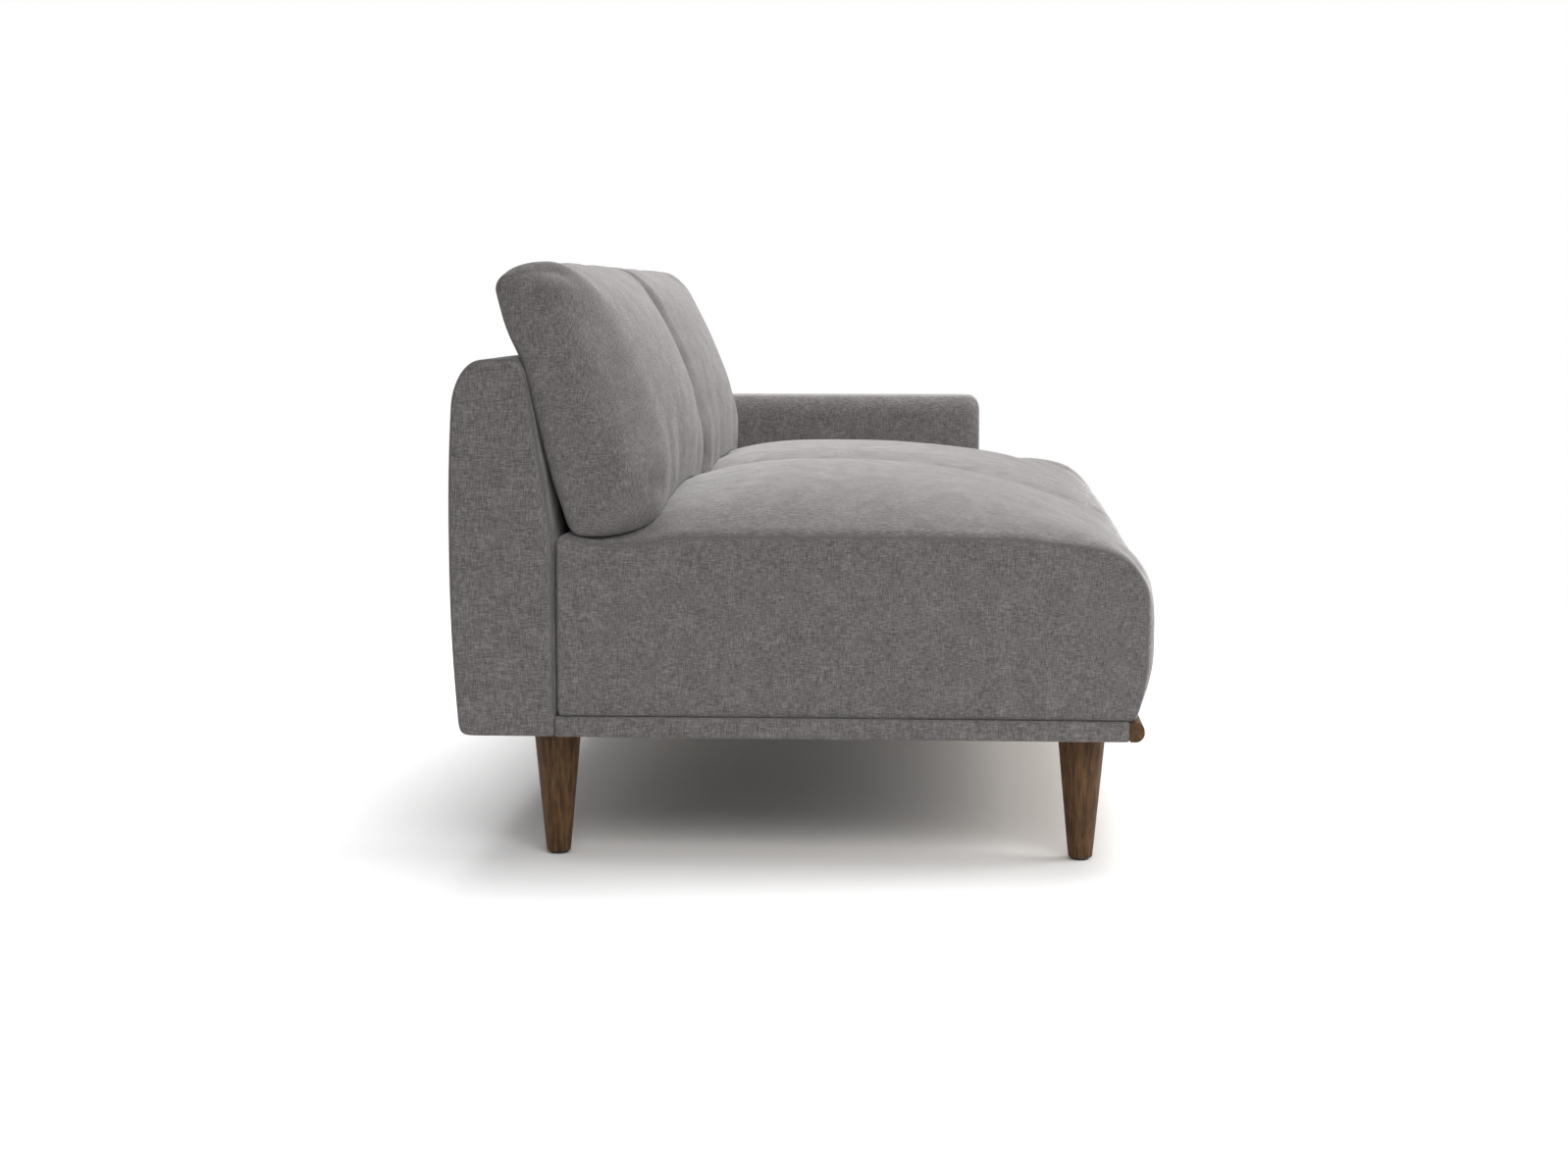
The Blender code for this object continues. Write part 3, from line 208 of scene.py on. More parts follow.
strap_material, tree, shader = fresh_material("black_webbing")
ribs = tree.nodes.new("ShaderNodeTexWave")
ribs.inputs["Scale"].default_value = RIB_SCALE
ribs.inputs["Distortion"].default_value = RIB_WAVER
place = tree.nodes.new("ShaderNodeTexCoord")
tree.links.new(place.outputs["Object"], ribs.inputs["Vector"])
strap_stops = [(0.1, STRAP_DARK), (0.9, STRAP_PALE)]
tree.links.new(shades(tree, ribs.outputs["Fac"], strap_stops), shader.inputs["Base Color"])
tree.links.new(levels(tree, streaks(tree, (60, 60, 60)), 0.6, 0.85), shader.inputs["Roughness"])
relief(tree, shader, ribs.outputs["Fac"], depth=0.0005)


def strap_middles(start, end, count):
    """Middle lines of a set of straps spread between two sides."""
    first = start + STRAP_WIDTH / 2
    pitch = (end - start - STRAP_WIDTH) / (count - 1)
    return [first + index * pitch for index in range(count)]


def add_strap(bm, along, middle, start, end, crossings, level, turn):
    """Adds one flat strap that rises over one crossing and dips under the next."""
    pitch = crossings[1] - crossings[0]
    steps = round((end - start) / STRAP_STEP)
    rows = []
    for step in range(steps + 1):
        run = start + (end - start) * step / steps
        wave = math.cos(math.pi * (run - crossings[0]) / pitch + math.pi * turn)
        z = level + STRAP_LIFT * STRAP_THICKNESS * wave
        row = []
        for side in (-STRAP_WIDTH / 2, STRAP_WIDTH / 2):
            spot = (middle + side, run, z) if along == "y" else (run, middle + side, z)
            row.append(bm.verts.new(spot))
        rows.append(row)
    for before, after in zip(rows, rows[1:]):
        bm.faces.new((before[0], before[1], after[1], after[0]))


for end_name in ("open", "arm"):
    low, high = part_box(f"seat_webbing_{end_name}")
    columns = strap_middles(low.x, high.x, STRAPS_DEEP)
    rows = strap_middles(low.y, high.y, STRAPS_ACROSS)
    level = (low.z + high.z) / 2
    bm = bmesh.new()
    for index, middle in enumerate(columns):
        add_strap(bm, "y", middle, low.y, high.y, rows, level, index)
    for index, middle in enumerate(rows):
        add_strap(bm, "x", middle, low.x, high.x, columns, level, index + 1)
    straps = new_piece(f"webbing_straps_{end_name}", bm, strap_material, "frame")
    thicken = straps.modifiers.new("thickness", "SOLIDIFY")
    thicken.thickness = STRAP_THICKNESS
    thicken.offset = 0.0
    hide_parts(f"seat_webbing_{end_name}")


# Rail covers: the grey upholstery cloth drawn tight over the ends of the platform.
# A strip of thin wadding softens the edges, and the cloth is stapled out of sight on the inside.
CLOTH_DARK_YARN = (0.076, 0.070, 0.069)
CLOTH_MIDDLE_YARN = (0.132, 0.123, 0.121)
CLOTH_PALE_YARN = (0.216, 0.203, 0.200)
# Painted shade: a darker grey laid along the seams for the shade in the seam crease.
SEAM_PAINTED_SHADE = (0.110, 0.103, 0.101)
YARNS_PER_METRE = 900
SLUBS_PER_METRE = 110
PATCHES_PER_METRE = 30
PATCH_SHADES = (0.90, 1.10)
LUMPS_PER_METRE = 34
LUMP_SHARE = 1.2  # height of the lumps against that of the yarns
CLOTH_RELIEF = 0.0016
NAP_RANGE = (0.75, 1.1)
NAP_ROUGHNESS = 0.24
NAP_TINT = (1.0, 0.98, 0.97)


def arithmetic(tree, operation, first, second=None):
    """A sum on node values; either side may be a number."""
    node = tree.nodes.new("ShaderNodeMath")
    node.operation = operation
    for socket, value in zip(node.inputs, (first, second)):
        if isinstance(value, (int, float)):
            socket.default_value = value
        elif value is not None:
            tree.links.new(value, socket)
    return node.outputs["Value"]


def grey_cloth(name, sheen):
    """Heathered plain weave of yarns of uneven shade, with a short nap that gives it a sheen, and painted
    shade along its seams.
    """
    material, tree, shader = fresh_material(name)
    place = tree.nodes.new("ShaderNodeTexCoord")
    facing = tree.nodes.new("ShaderNodeSeparateXYZ")
    tree.links.new(place.outputs["Normal"], facing.inputs["Vector"])
    weave = 0.0
    total = 0.0
    for axis in range(3):
        spots = [YARNS_PER_METRE] * 3
        spots[axis] = SLUBS_PER_METRE
        yarn = streaks(tree, spots, detail=2.0)
        lies_flat = arithmetic(tree, "SUBTRACT", 1.0, arithmetic(tree, "ABSOLUTE", facing.outputs[axis]))
        weave = arithmetic(tree, "ADD", weave, arithmetic(tree, "MULTIPLY", yarn, lies_flat))
        total = arithmetic(tree, "ADD", total, lies_flat)
    weave = arithmetic(tree, "DIVIDE", weave, total)
    stops = [(0.36, CLOTH_DARK_YARN), (0.50, CLOTH_MIDDLE_YARN), (0.64, CLOTH_PALE_YARN)]
    colour = shades(tree, weave, stops)
    patches = streaks(tree, [PATCHES_PER_METRE] * 3, detail=5.0)
    mottle = tree.nodes.new("ShaderNodeHueSaturation")
    tree.links.new(levels(tree, patches, *PATCH_SHADES), mottle.inputs["Value"])
    tree.links.new(colour, mottle.inputs["Color"])
    # Painted shade: the darker grey is mixed in along the marked seams, for the shade in the seam crease.
    seam_shade = tree.nodes.new("ShaderNodeAttribute")
    seam_shade.attribute_name = "seam_shade"
    sewn = tree.nodes.new("ShaderNodeMix")
    sewn.data_type = "RGBA"
    tree.links.new(arithmetic(tree, "POWER", seam_shade.outputs["Fac"], 3.0), sewn.inputs["Factor"])
    tree.links.new(mottle.outputs["Color"], sewn.inputs["A"])
    sewn.inputs["B"].default_value = (*SEAM_PAINTED_SHADE, 1.0)
    tree.links.new(sewn.outputs["Result"], shader.inputs["Base Color"])
    tree.links.new(levels(tree, weave, 0.80, 0.95), shader.inputs["Roughness"])
    lumps = streaks(tree, [LUMPS_PER_METRE] * 3, detail=3.0)
    height = arithmetic(tree, "ADD", weave, arithmetic(tree, "MULTIPLY", lumps, LUMP_SHARE))
    relief(tree, shader, height, CLOTH_RELIEF, strength=0.8)
    shader.inputs["Specular IOR Level"].default_value = 0.25
    yarn_nap = levels(tree, weave, *NAP_RANGE)
    patch_nap = levels(tree, patches, NAP_RANGE[0] * sheen, NAP_RANGE[1] * sheen)
    nap = arithmetic(tree, "MULTIPLY", yarn_nap, patch_nap)
    tree.links.new(nap, shader.inputs["Sheen Weight"])
    shader.inputs["Sheen Roughness"].default_value = NAP_ROUGHNESS
    shader.inputs["Sheen Tint"].default_value = (*NAP_TINT, 1.0)
    return material


def divided_box(low, high, cuts, crowd=(0.0, 0.0, 0.0)):
    """A box cut into rows along each axis; crowd draws the rows of an axis towards its two ends."""
    bm = bmesh.new()
    bmesh.ops.create_cube(bm, size=1.0)
    for axis in range(3):
        edges = [e for e in bm.edges if abs(e.verts[0].co[axis] - e.verts[1].co[axis]) > 1e-6]
        bmesh.ops.subdivide_edges(bm, edges=edges, cuts=cuts[axis], use_grid_fill=True)
    for vert in bm.verts:
        for axis in range(3):
            share = vert.co[axis] + 0.5
            share -= crowd[axis] * math.sin(math.tau * share) / math.tau
            vert.co[axis] = low[axis] + (high[axis] - low[axis]) * share
    return bm


def in_order(bm):
    """Puts a mesh's points and faces in order of place, so that every run gives the same mesh."""
    spots = sorted(tuple(vert.co) for vert in bm.verts)
    ranks = {spot: rank for rank, spot in enumerate(spots)}
    rings = []
    for face in bm.faces:
        ring = [ranks[tuple(vert.co)] for vert in face.verts]
        start = ring.index(min(ring))
        rings.append(ring[start:] + ring[:start])
    bm.clear()
    verts = [bm.verts.new(spot) for spot in spots]
    for ring in sorted(rings):
        bm.faces.new([verts[rank] for rank in ring])


def smooth_over(piece, times):
    """Rounds a piece's mesh with subdivision."""
    rounder = piece.modifiers.new("rounding", "SUBSURF")
    rounder.levels = times
    rounder.render_levels = times


tight_cloth = grey_cloth("grey_cloth_tight", sheen=0.70)
for end_name in ("open", "arm"):
    low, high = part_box(f"rail_cover_{end_name}")
    bm = divided_box(low, high, (5, 70, 5), (0.3, 0.0, 0.3))
    strip = new_piece(f"rail_strip_{end_name}", bm, tight_cloth, "frame")
    smooth_over(strip, 1)
    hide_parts(f"rail_cover_{end_name}")


# Front trim: a solid strip of dark stained wood with a rounded nose, screwed along the front rail.
# Its grain runs the length of the sofa, and the sawn ends show the cut fibres.
TRIM_NOSE_ROUND = 0.0125
TRIM_NOSE_STEPS = 8
TRIM_EASE = 0.0012
WOOD_DARK = (0.029, 0.0135, 0.005)
WOOD_MIDDLE = (0.076, 0.039, 0.016)
WOOD_PALE = (0.128, 0.070, 0.030)
PORE_SHARE = 0.35  # how much of the wood's shade comes from its pores


def stained_wood(name, grain, pores):
    """Dark stained hardwood with long figure, fine open pores and a satin finish."""
    material, tree, shader = fresh_material(name)
    figure = streaks(tree, grain, detail=5.0, warp=0.8)
    fine = streaks(tree, pores, detail=3.0)
    broad = arithmetic(tree, "MULTIPLY", figure, 1.0 - PORE_SHARE)
    mixed = arithmetic(tree, "ADD", broad, arithmetic(tree, "MULTIPLY", fine, PORE_SHARE))
    stops = [(0.36, WOOD_DARK), (0.50, WOOD_MIDDLE), (0.64, WOOD_PALE)]
    tree.links.new(shades(tree, mixed, stops), shader.inputs["Base Color"])
    tree.links.new(levels(tree, fine, 0.54, 0.72), shader.inputs["Roughness"])
    relief(tree, shader, mixed, depth=0.0004, strength=0.7)
    shader.inputs["Specular IOR Level"].default_value = 0.20
    return material


trim_wood = stained_wood("stained_wood_trim", (4, 120, 120), (25, 900, 900))
low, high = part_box("front_trim")
outline = [(high.y, low.z), (high.y, high.z)]
for corner, start_turn in ((high.z - TRIM_NOSE_ROUND, 0.25), (low.z + TRIM_NOSE_ROUND, 0.5)):
    for step in range(TRIM_NOSE_STEPS + 1):
        turn = math.tau * (start_turn + 0.25 * step / TRIM_NOSE_STEPS)
        y = low.y + TRIM_NOSE_ROUND * (1 + math.cos(turn))
        outline.append((y, corner + TRIM_NOSE_ROUND * math.sin(turn)))
bm = bmesh.new()
end_face = bm.faces.new([bm.verts.new((low.x, y, z)) for y, z in outline])
grown = bmesh.ops.extrude_face_region(bm, geom=[end_face], use_keep_orig=True)
far_verts = [item for item in grown["geom"] if isinstance(item, bmesh.types.BMVert)]
bmesh.ops.translate(bm, vec=(high.x - low.x, 0.0, 0.0), verts=far_verts)
in_order(bm)
trim = new_piece("trim_strip", bm, trim_wood, "frame")
eased = trim.modifiers.new("eased_ends", "BEVEL")
eased.width = TRIM_EASE
eased.segments = 2
eased.limit_method = "ANGLE"
trim.data.set_sharp_from_angle(angle=math.radians(40))
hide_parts("front_trim")


# Legs: round tapered legs turned from the same dark wood, each on a bolt into the platform.
# The bolts are zinc plated steel, and a black nylon glide is pinned under each foot.
LEG_PLACES = ("front_open", "front_arm", "rear_open", "rear_arm")
FOOT_RADIUS = 0.017
FOOT_ROUND = 0.0025
FOOT_STEPS = 6
LEG_STEPS = 8
LEG_SIDES = 72
ZINC_DULL = (0.40, 0.40, 0.39)
ZINC_BRIGHT = (0.66, 0.66, 0.64)
NYLON_DARK = (0.022, 0.021, 0.020)
NYLON_PALE = (0.045, 0.043, 0.041)

leg_wood = stained_wood("stained_wood_legs", (170, 170, 11), (900, 900, 40))
for place_name in LEG_PLACES:
    low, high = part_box(f"leg_{place_name}")
    middle = (low + high) / 2
    top_radius = (high.x - low.x) / 2
    slant = (top_radius - FOOT_RADIUS) / (high.z - low.z)
    profile = [(0.0, low.z)]
    for step in range(FOOT_STEPS + 1):
        turn = math.radians(90 * step / FOOT_STEPS)
        radius = FOOT_RADIUS - FOOT_ROUND * (1 - math.sin(turn))
        profile.append((radius, low.z + FOOT_ROUND * (1 - math.cos(turn))))
    for step in range(1, LEG_STEPS + 1):
        z = low.z + FOOT_ROUND + (high.z - low.z - FOOT_ROUND) * step / LEG_STEPS
        profile.append((FOOT_RADIUS + slant * (z - low.z), z))
    profile.append((0.0, high.z))
    bm = bmesh.new()
    spots = [bm.verts.new((middle.x + radius, middle.y, z)) for radius, z in profile]
    edges = [bm.edges.new(pair) for pair in zip(spots, spots[1:])]
    bmesh.ops.spin(
        bm,
        geom=spots + edges,
        cent=(middle.x, middle.y, 0.0),
        axis=(0, 0, 1),
        angle=math.tau,
        steps=LEG_SIDES,
    )
    bmesh.ops.remove_doubles(bm, verts=bm.verts, dist=1e-6)
    in_order(bm)
    leg = new_piece(f"turned_leg_{place_name}", bm, leg_wood, "frame")
    leg.data.set_sharp_from_angle(angle=math.radians(50))
    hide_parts(f"leg_{place_name}")


def zinc_plate(name):
    """Zinc plated steel, faintly brushed, with dulled patches."""
    material, tree, shader = fresh_material(name)
    dulling = streaks(tree, (60, 60, 60), detail=5.0)
    stops = [(0.3, ZINC_DULL), (0.7, ZINC_BRIGHT)]
    tree.links.new(shades(tree, dulling, stops), shader.inputs["Base Color"])
    tree.links.new(levels(tree, dulling, 0.28, 0.50), shader.inputs["Roughness"])
    brushing = streaks(tree, (900, 120, 120), detail=3.0)
    relief(tree, shader, brushing, depth=0.0001)
    shader.inputs["Metallic"].default_value = 1.0
    return material


def nylon(name):
    """Moulded black nylon with a fine grain and scuffs."""
    material, tree, shader = fresh_material(name)
    grain = streaks(tree, (700, 700, 700), detail=4.0)
    stops = [(0.35, NYLON_DARK), (0.7, NYLON_PALE)]
    tree.links.new(shades(tree, grain, stops), shader.inputs["Base Color"])
    tree.links.new(levels(tree, grain, 0.45, 0.65), shader.inputs["Roughness"])
    relief(tree, shader, grain, depth=0.0002)
    return material


bolt_zinc = zinc_plate("zinc_bolts")
glide_nylon = nylon("nylon_glides")
for place_name in LEG_PLACES:
    dress(bolt_zinc, f"leg_bolt_{place_name}")
    dress(glide_nylon, f"leg_glide_{place_name}")


# Back: the grey cloth pulled tight over a thin pad on the back frame, bolted to the rear rail.
# The front slopes from the knee up, the top edges are rolled and the rear swells a little.
BACK_KNEE = 0.456
BACK_SLOPE = math.tan(math.radians(9.0))
BACK_TOP_FRONT = (0.020, 0.036)
BACK_TOP_REAR = (0.054, 0.062)
BACK_HEM = 0.014
BACK_FALL = 0.005
REAR_PAD = 0.002
REAR_SWELL = 0.012
REAR_SWELL_HEIGHT = 0.450
BACK_EDGE = 0.008
BACK_EDGE_START = 0.040  # height above the rail covers at which the edge has its full rounding
BACK_EDGE_LEAST = 0.01  # share of that rounding beside the rail covers
PULL = 0.0007
PULLS_PER_METRE = 7.0
SAME_PLACE = 1e-5


def same(first, second):
    """Whether two coordinates stand for the same place."""
    return abs(first - second) < SAME_PLACE


def rolled(a, b, edge_a, edge_b, depth_a, depth_b):
    """Moves a point near a square edge onto a round; the depths are signed towards the edge."""
    share_a = (a - edge_a + depth_a) / depth_a
    share_b = (b - edge_b + depth_b) / depth_b
    if share_a <= 0.0 or share_b <= 0.0:
        return a, b
    draw = max(share_a, share_b) / math.hypot(share_a, share_b)
    return edge_a - depth_a + depth_a * share_a * draw, edge_b - depth_b + depth_b * share_b * draw


low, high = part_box("back_cover")
rail_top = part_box("rail_cover_open")[1].z
bm = divided_box(low, high, (84, 12, 40), (0.5, 0.2, 0.3))
seam_shade = bm.verts.layers.float.new("seam_shade")
for vert in bm.verts:
    x, y, z = vert.co
    at_end = same(x, low.x) or same(x, high.x)
    at_front = same(y, low.y) and z > rail_top
    at_border = at_front or same(y, high.y) or same(z, high.z)
    above_rail = min(max((z - rail_top) / BACK_EDGE_START, BACK_EDGE_LEAST), 1.0)
    # Marks the seams, where painted shade darkens the cloth.
    vert[seam_shade] = 1.0 if at_end and at_border else 0.0
    y, z = rolled(y, z, low.y, high.z, -BACK_TOP_FRONT[0], BACK_TOP_FRONT[1])
    y, z = rolled(y, z, high.y, high.z, *BACK_TOP_REAR)
    y, z = rolled(y, z, high.y, low.z, BACK_HEM, -BACK_HEM)
    edge = BACK_EDGE * above_rail
    x, y = rolled(x, y, low.x, low.y, -edge, -edge)
    x, y = rolled(x, y, high.x, low.y, edge, -edge)
    rearward = (y - low.y) / (high.y - low.y)
    y += BACK_SLOPE * max(0.0, z - BACK_KNEE) * (1 - rearward)
    from_swell = (z - REAR_SWELL_HEIGHT) / (REAR_SWELL_HEIGHT - low.z)
    y += (REAR_PAD - REAR_SWELL * from_swell * from_swell) * rearward
    z -= BACK_FALL * rearward * (z - low.z) / (high.z - low.z)
    sway = PULL * noise.noise(Vector((x, y, z)) * PULLS_PER_METRE)
    vert.co = Vector((x, y + sway * rearward, z))
back = new_piece("back_upholstery", bm, tight_cloth, "frame")
smooth_over(back, 1)
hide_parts("back_cover")
dress(bolt_zinc, "back_bolt_open", "back_bolt_arm")


# Arm: a low thin arm of the same cloth over a padded frame, set back from the front of the seat.
# It is bolted to the end rail, its edges are rolled and its rear end closes against the back.
ARM_ROLL = 0.024
ARM_INNER_ROLL = (0.020, 0.037)
ARM_FRONT_ROLL = 0.026
ARM_REAR = 0.3405  # just in front of the back

low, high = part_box("arm_cover")
bm = divided_box(low, high, (12, 40, 26), (0.5, 0.4, 0.4))
for vert in bm.verts:
    x, y, z = vert.co
    y, z = rolled(y, z, low.y, high.z, -ARM_ROLL, ARM_ROLL)
    x, z = rolled(x, z, low.x, high.z, -ARM_INNER_ROLL[0], ARM_INNER_ROLL[1])
    x, z = rolled(x, z, high.x, high.z, ARM_ROLL, ARM_ROLL)
    x, y = rolled(x, y, low.x, low.y, -ARM_FRONT_ROLL, -ARM_FRONT_ROLL)
    x, y = rolled(x, y, high.x, low.y, ARM_FRONT_ROLL, -ARM_FRONT_ROLL)
    rear_limit = ARM_REAR + BACK_SLOPE * max(0.0, z - BACK_KNEE)
    y = low.y + (y - low.y) * (rear_limit - low.y) / (high.y - low.y)
    vert.co = Vector((x, y, z))
arm = new_piece("arm_upholstery", bm, tight_cloth, "frame")
smooth_over(arm, 1)
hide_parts("arm_cover")
dress(bolt_zinc, "arm_bolt_front", "arm_bolt_rear")


# Joining hooks: two flat zinc plated hooks on shoulder screws under the open end.
# They swing out to catch the next section of the sofa.
hook_zinc = zinc_plate("zinc_hooks")
dress(hook_zinc, "hook_front", "hook_rear", "hook_screw_front", "hook_screw_rear")


# Seat cushions: a foam core and a fibre wrap in a boxed cover of the grey cloth, loose on the webbing.
# One panel wraps the front, top and rear and is sewn to flat end panels.
# The cushion at the arm has an ear that fills the space in front of the arm.
SEAT_SEAM = 0.4583
SEAT_RISE = {"open": 0.083, "arm": 0.067}
SEAT_FRONT_REACH = 0.440
SEAT_REAR_REACH = {"open": 0.320, "arm": 0.265}
SEAT_FALL = 0.020
SEAT_FALL_REACH = 0.205
SEAT_FALL_EASE = 0.2  # share of the fall that the filling takes up
SEAT_NOSE_REACH = 0.120
SEAT_FRONT_ROLL = 0.078
SEAT_FRONT_FILL = 0.013
SEAT_REAR_ROLL = 0.010
SEAT_FOOT_ROLL = 0.007
SEAT_TUCK = 0.017
SEAT_TUCK_HEIGHT = 0.100
SEAT_DRAW = 0.008
SEAT_BELLY = 0.003
SEAT_BELLY_REACH = 0.120
SEAT_PULLS = (  # place along the cushion, depth and width of each pull in the cloth
    (0.150, 0.0040, 0.024),
    (0.285, 0.0055, 0.030),
    (0.430, 0.0045, 0.034),
    (0.590, 0.0050, 0.026),
)
SEAT_PULL_START = 0.050
SEAT_PULL_REACH = 0.260
EAR_RISE = 0.011
EAR_OUTER_REACH = 0.090
EAR_OVERLAP = 0.120
EAR_INNER_REACH = 0.150
EAR_FRONT_REACH = 0.080
EAR_REAR_REACH = 0.100
EAR_GAP = 0.004  # left to the arm
EAR_STEPS = 10
SEAT_SADDLE = {"open": 0.012, "arm": 0.0}
SEAT_SADDLE_MIDDLE = 0.070
SEAT_SADDLE_REACH = 0.110
SEAT_SADDLE_SIDE = 0.300
SEAT_DENT = 0.014
SEAT_DENT_MIDDLE = 0.250
SEAT_DENT_REACH = 0.075
SEAT_DENT_EASE = 0.7  # share of the dent that the filling takes up
SEAT_WAIST = 0.005
SEAT_SHOULDER = {"open": 0.36, "arm": 0.25}
SHOULDER_POWER = 2.4
ZIP_SLOT = 0.006
ZIP_LIP = 0.012
FILL_FRAMES = 20
FILL_PRESSURE = 4.0
COVER_SLACK = 0.02  # share by which the cover is cut larger than its filling
FOLD_FINEST = 12  # rounds of smoothing that take out the grain of the mesh
FOLD_BROADEST = 120  # rounds of smoothing that leave only the swelling as a whole
FOLD_CAP = 0.004


def arch(distance, reach):
    """Rise of a filled panel along its run: slow at the reach, quick at the edge."""
    return math.sin(math.pi / 2 * min(max(distance / reach, 0.0), 1.0))


def shoulder(distance, reach):
    """Rise of a filled panel beside a seam: steep at the seam, then level."""
    share = min(max(distance / reach, 0.0), 1.0)
    return (1.0 - (1.0 - share) ** SHOULDER_POWER) ** (1.0 / SHOULDER_POWER)


def filled(distance, reach):
    """Rise of a well filled panel between a steep shoulder and a plain arch."""
    return (arch(distance, reach) + shoulder(distance, reach)) / 2


def seat_surface(point, low, high, ear, rise, rear_reach, side_reach, saddle):
    """Where a point of the plain seat block comes to lie on the filled cushion.

    The ear is given by its inner side and its rear, or is None.
    """
    x, y, z = point
    swell = filled(x - low.x, SEAT_BELLY_REACH) * filled(high.x - x, SEAT_BELLY_REACH)
    front_roll = SEAT_FRONT_ROLL - SEAT_FRONT_FILL * swell
    y, z = rolled(y, z, low.y, high.z, -front_roll, front_roll)
    y, z = rolled(y, z, high.y, high.z, SEAT_REAR_ROLL, SEAT_REAR_ROLL)
    y, z = rolled(y, z, low.y, low.z, -SEAT_FOOT_ROLL, -SEAT_FOOT_ROLL)
    y, z = rolled(y, z, high.y, low.z, SEAT_FOOT_ROLL, -SEAT_FOOT_ROLL)
    lift = (z - low.z) / (high.z - low.z)
    upper = min(max((z - high.z) / SEAT_FRONT_ROLL + 1.0, 0.0), 1.0)
    forward = min(max((low.y + SEAT_NOSE_REACH - y) / SEAT_NOSE_REACH, 0.0), 1.0)
    across = filled(x - low.x, side_reach) * filled(high.x - x, side_reach)
    lobe = 0.0
    if ear:
        across *= filled(max(ear[0] - x, ear[1] - y), side_reach)
        lobe = arch(high.x - x, EAR_OUTER_REACH) * arch(x - ear[0] + EAR_OVERLAP, EAR_INNER_REACH)
        lobe = lobe * arch(y - low.y, EAR_FRONT_REACH) * arch(ear[1] - y, EAR_REAR_REACH)
    crown = rise * across * arch(y - low.y, SEAT_FRONT_REACH) * arch(high.y - y, rear_reach)
    near_dent = arch(SEAT_DENT_REACH - abs(y - SEAT_DENT_MIDDLE), SEAT_DENT_REACH)
    dent = SEAT_DENT * (1 - SEAT_DENT_EASE * across) * near_dent
    crown += EAR_RISE * lobe - dent
    inward = min(x - low.x, high.x - x) / SEAT_SADDLE_SIDE
    hollow = math.exp(-(((y - low.y - SEAT_SADDLE_MIDDLE) / SEAT_SADDLE_REACH) ** 2))
    crown -= saddle * arch(inward, 1.0) ** 2 * hollow
    for spot, depth, width in SEAT_PULLS:
        pull = depth * math.exp(-(((x - low.x - spot) / width) ** 2))
        pull_end = arch(low.y + SEAT_PULL_REACH - y, SEAT_PULL_REACH)
        crown -= pull * arch(y - low.y, SEAT_PULL_START) * pull_end
    fall = min(max(1 - (y - low.y) / SEAT_FALL_REACH, 0.0), 1.0)
    tuck = max(0.0, 1 - (z - low.z) / SEAT_TUCK_HEIGHT)
    belly = SEAT_BELLY * forward * swell * math.sin(math.pi * min(max(lift, 0.0), 1.0))
    waist = SEAT_WAIST * (1 - lift) * (1 - ((2 * y - low.y - high.y) / (high.y - low.y)) ** 2)
    if same(x, low.x):
        x += waist
    if same(x, high.x):
        x -= waist
    z += upper * crown - SEAT_FALL * (1 - SEAT_FALL_EASE * swell) * lift * fall * fall * (3 - 2 * fall)
    y += forward * (SEAT_TUCK * tuck * tuck + SEAT_DRAW * (1 - swell)) - belly
    return Vector((x, y, z))


def zip_slot(spot, zip_low, zip_high):
    """How far a point of a cover's rear lies inside the slot for its zip, from 0 to 1."""
    inside = min(spot.x - zip_low.x, zip_high.x - spot.x, spot.z - zip_low.z, zip_high.z - spot.z)
    return arch(inside + ZIP_LIP, ZIP_LIP)


def add_folds(piece, low, high):
    """Blows a cover up in a cloth simulation and keeps the folds that its sewn edges draw in it.

    The movement is smoothed a little and a lot, and the folds are what lies between the two: neither the
    grain of the mesh nor the swelling as a whole. They stay within the low and high corners.
    """
    mesh = piece.data
    sewn = piece.vertex_groups.new(name="sewn")
    held = [index for index, point in enumerate(mesh.attributes["sewn"].data) if point.value > 0.5]
    sewn.add(held, 1.0, "REPLACE")
    cover = piece.modifiers.new("cover", "CLOTH")
    cover.settings.vertex_group_mass = sewn.name
    cover.settings.use_pressure = True
    cover.settings.uniform_pressure_force = FILL_PRESSURE
    cover.settings.shrink_min = -COVER_SLACK
    cover.settings.effector_weights.gravity = 0.0
    cover.collision_settings.use_collision = False
    for step in range(1, FILL_FRAMES + 1):
        bpy.context.scene.frame_set(step)
    blown = piece.evaluated_get(bpy.context.evaluated_depsgraph_get()).data
    before = np.empty(len(mesh.vertices) * 3)
    after = np.empty(len(mesh.vertices) * 3)
    mesh.vertices.foreach_get("co", before)
    blown.vertices.foreach_get("co", after)
    moved = (after - before).reshape(-1, 3)
    ends = np.empty(len(mesh.edges) * 2, dtype=int)
    mesh.edges.foreach_get("vertices", ends)
    ends = ends.reshape(-1, 2)
    neighbours = np.bincount(ends.ravel(), minlength=len(moved))[:, None]
    swell = moved
    for step in range(1, FOLD_BROADEST + 1):
        around = swell * neighbours
        np.add.at(around, ends[:, 0], swell[ends[:, 1]])
        np.add.at(around, ends[:, 1], swell[ends[:, 0]])
        swell = around / (2 * neighbours)
        if step == FOLD_FINEST:
            calm = swell
    folds = calm - swell
    lengths = np.linalg.norm(folds, axis=1, keepdims=True)
    folds *= FOLD_CAP / np.maximum(lengths, FOLD_CAP)
    mesh.vertices.foreach_set("co", np.clip(before.reshape(-1, 3) + folds, low, high).ravel())
    piece.modifiers.remove(cover)
    piece.vertex_groups.remove(sewn)
    bpy.context.scene.frame_set(1)


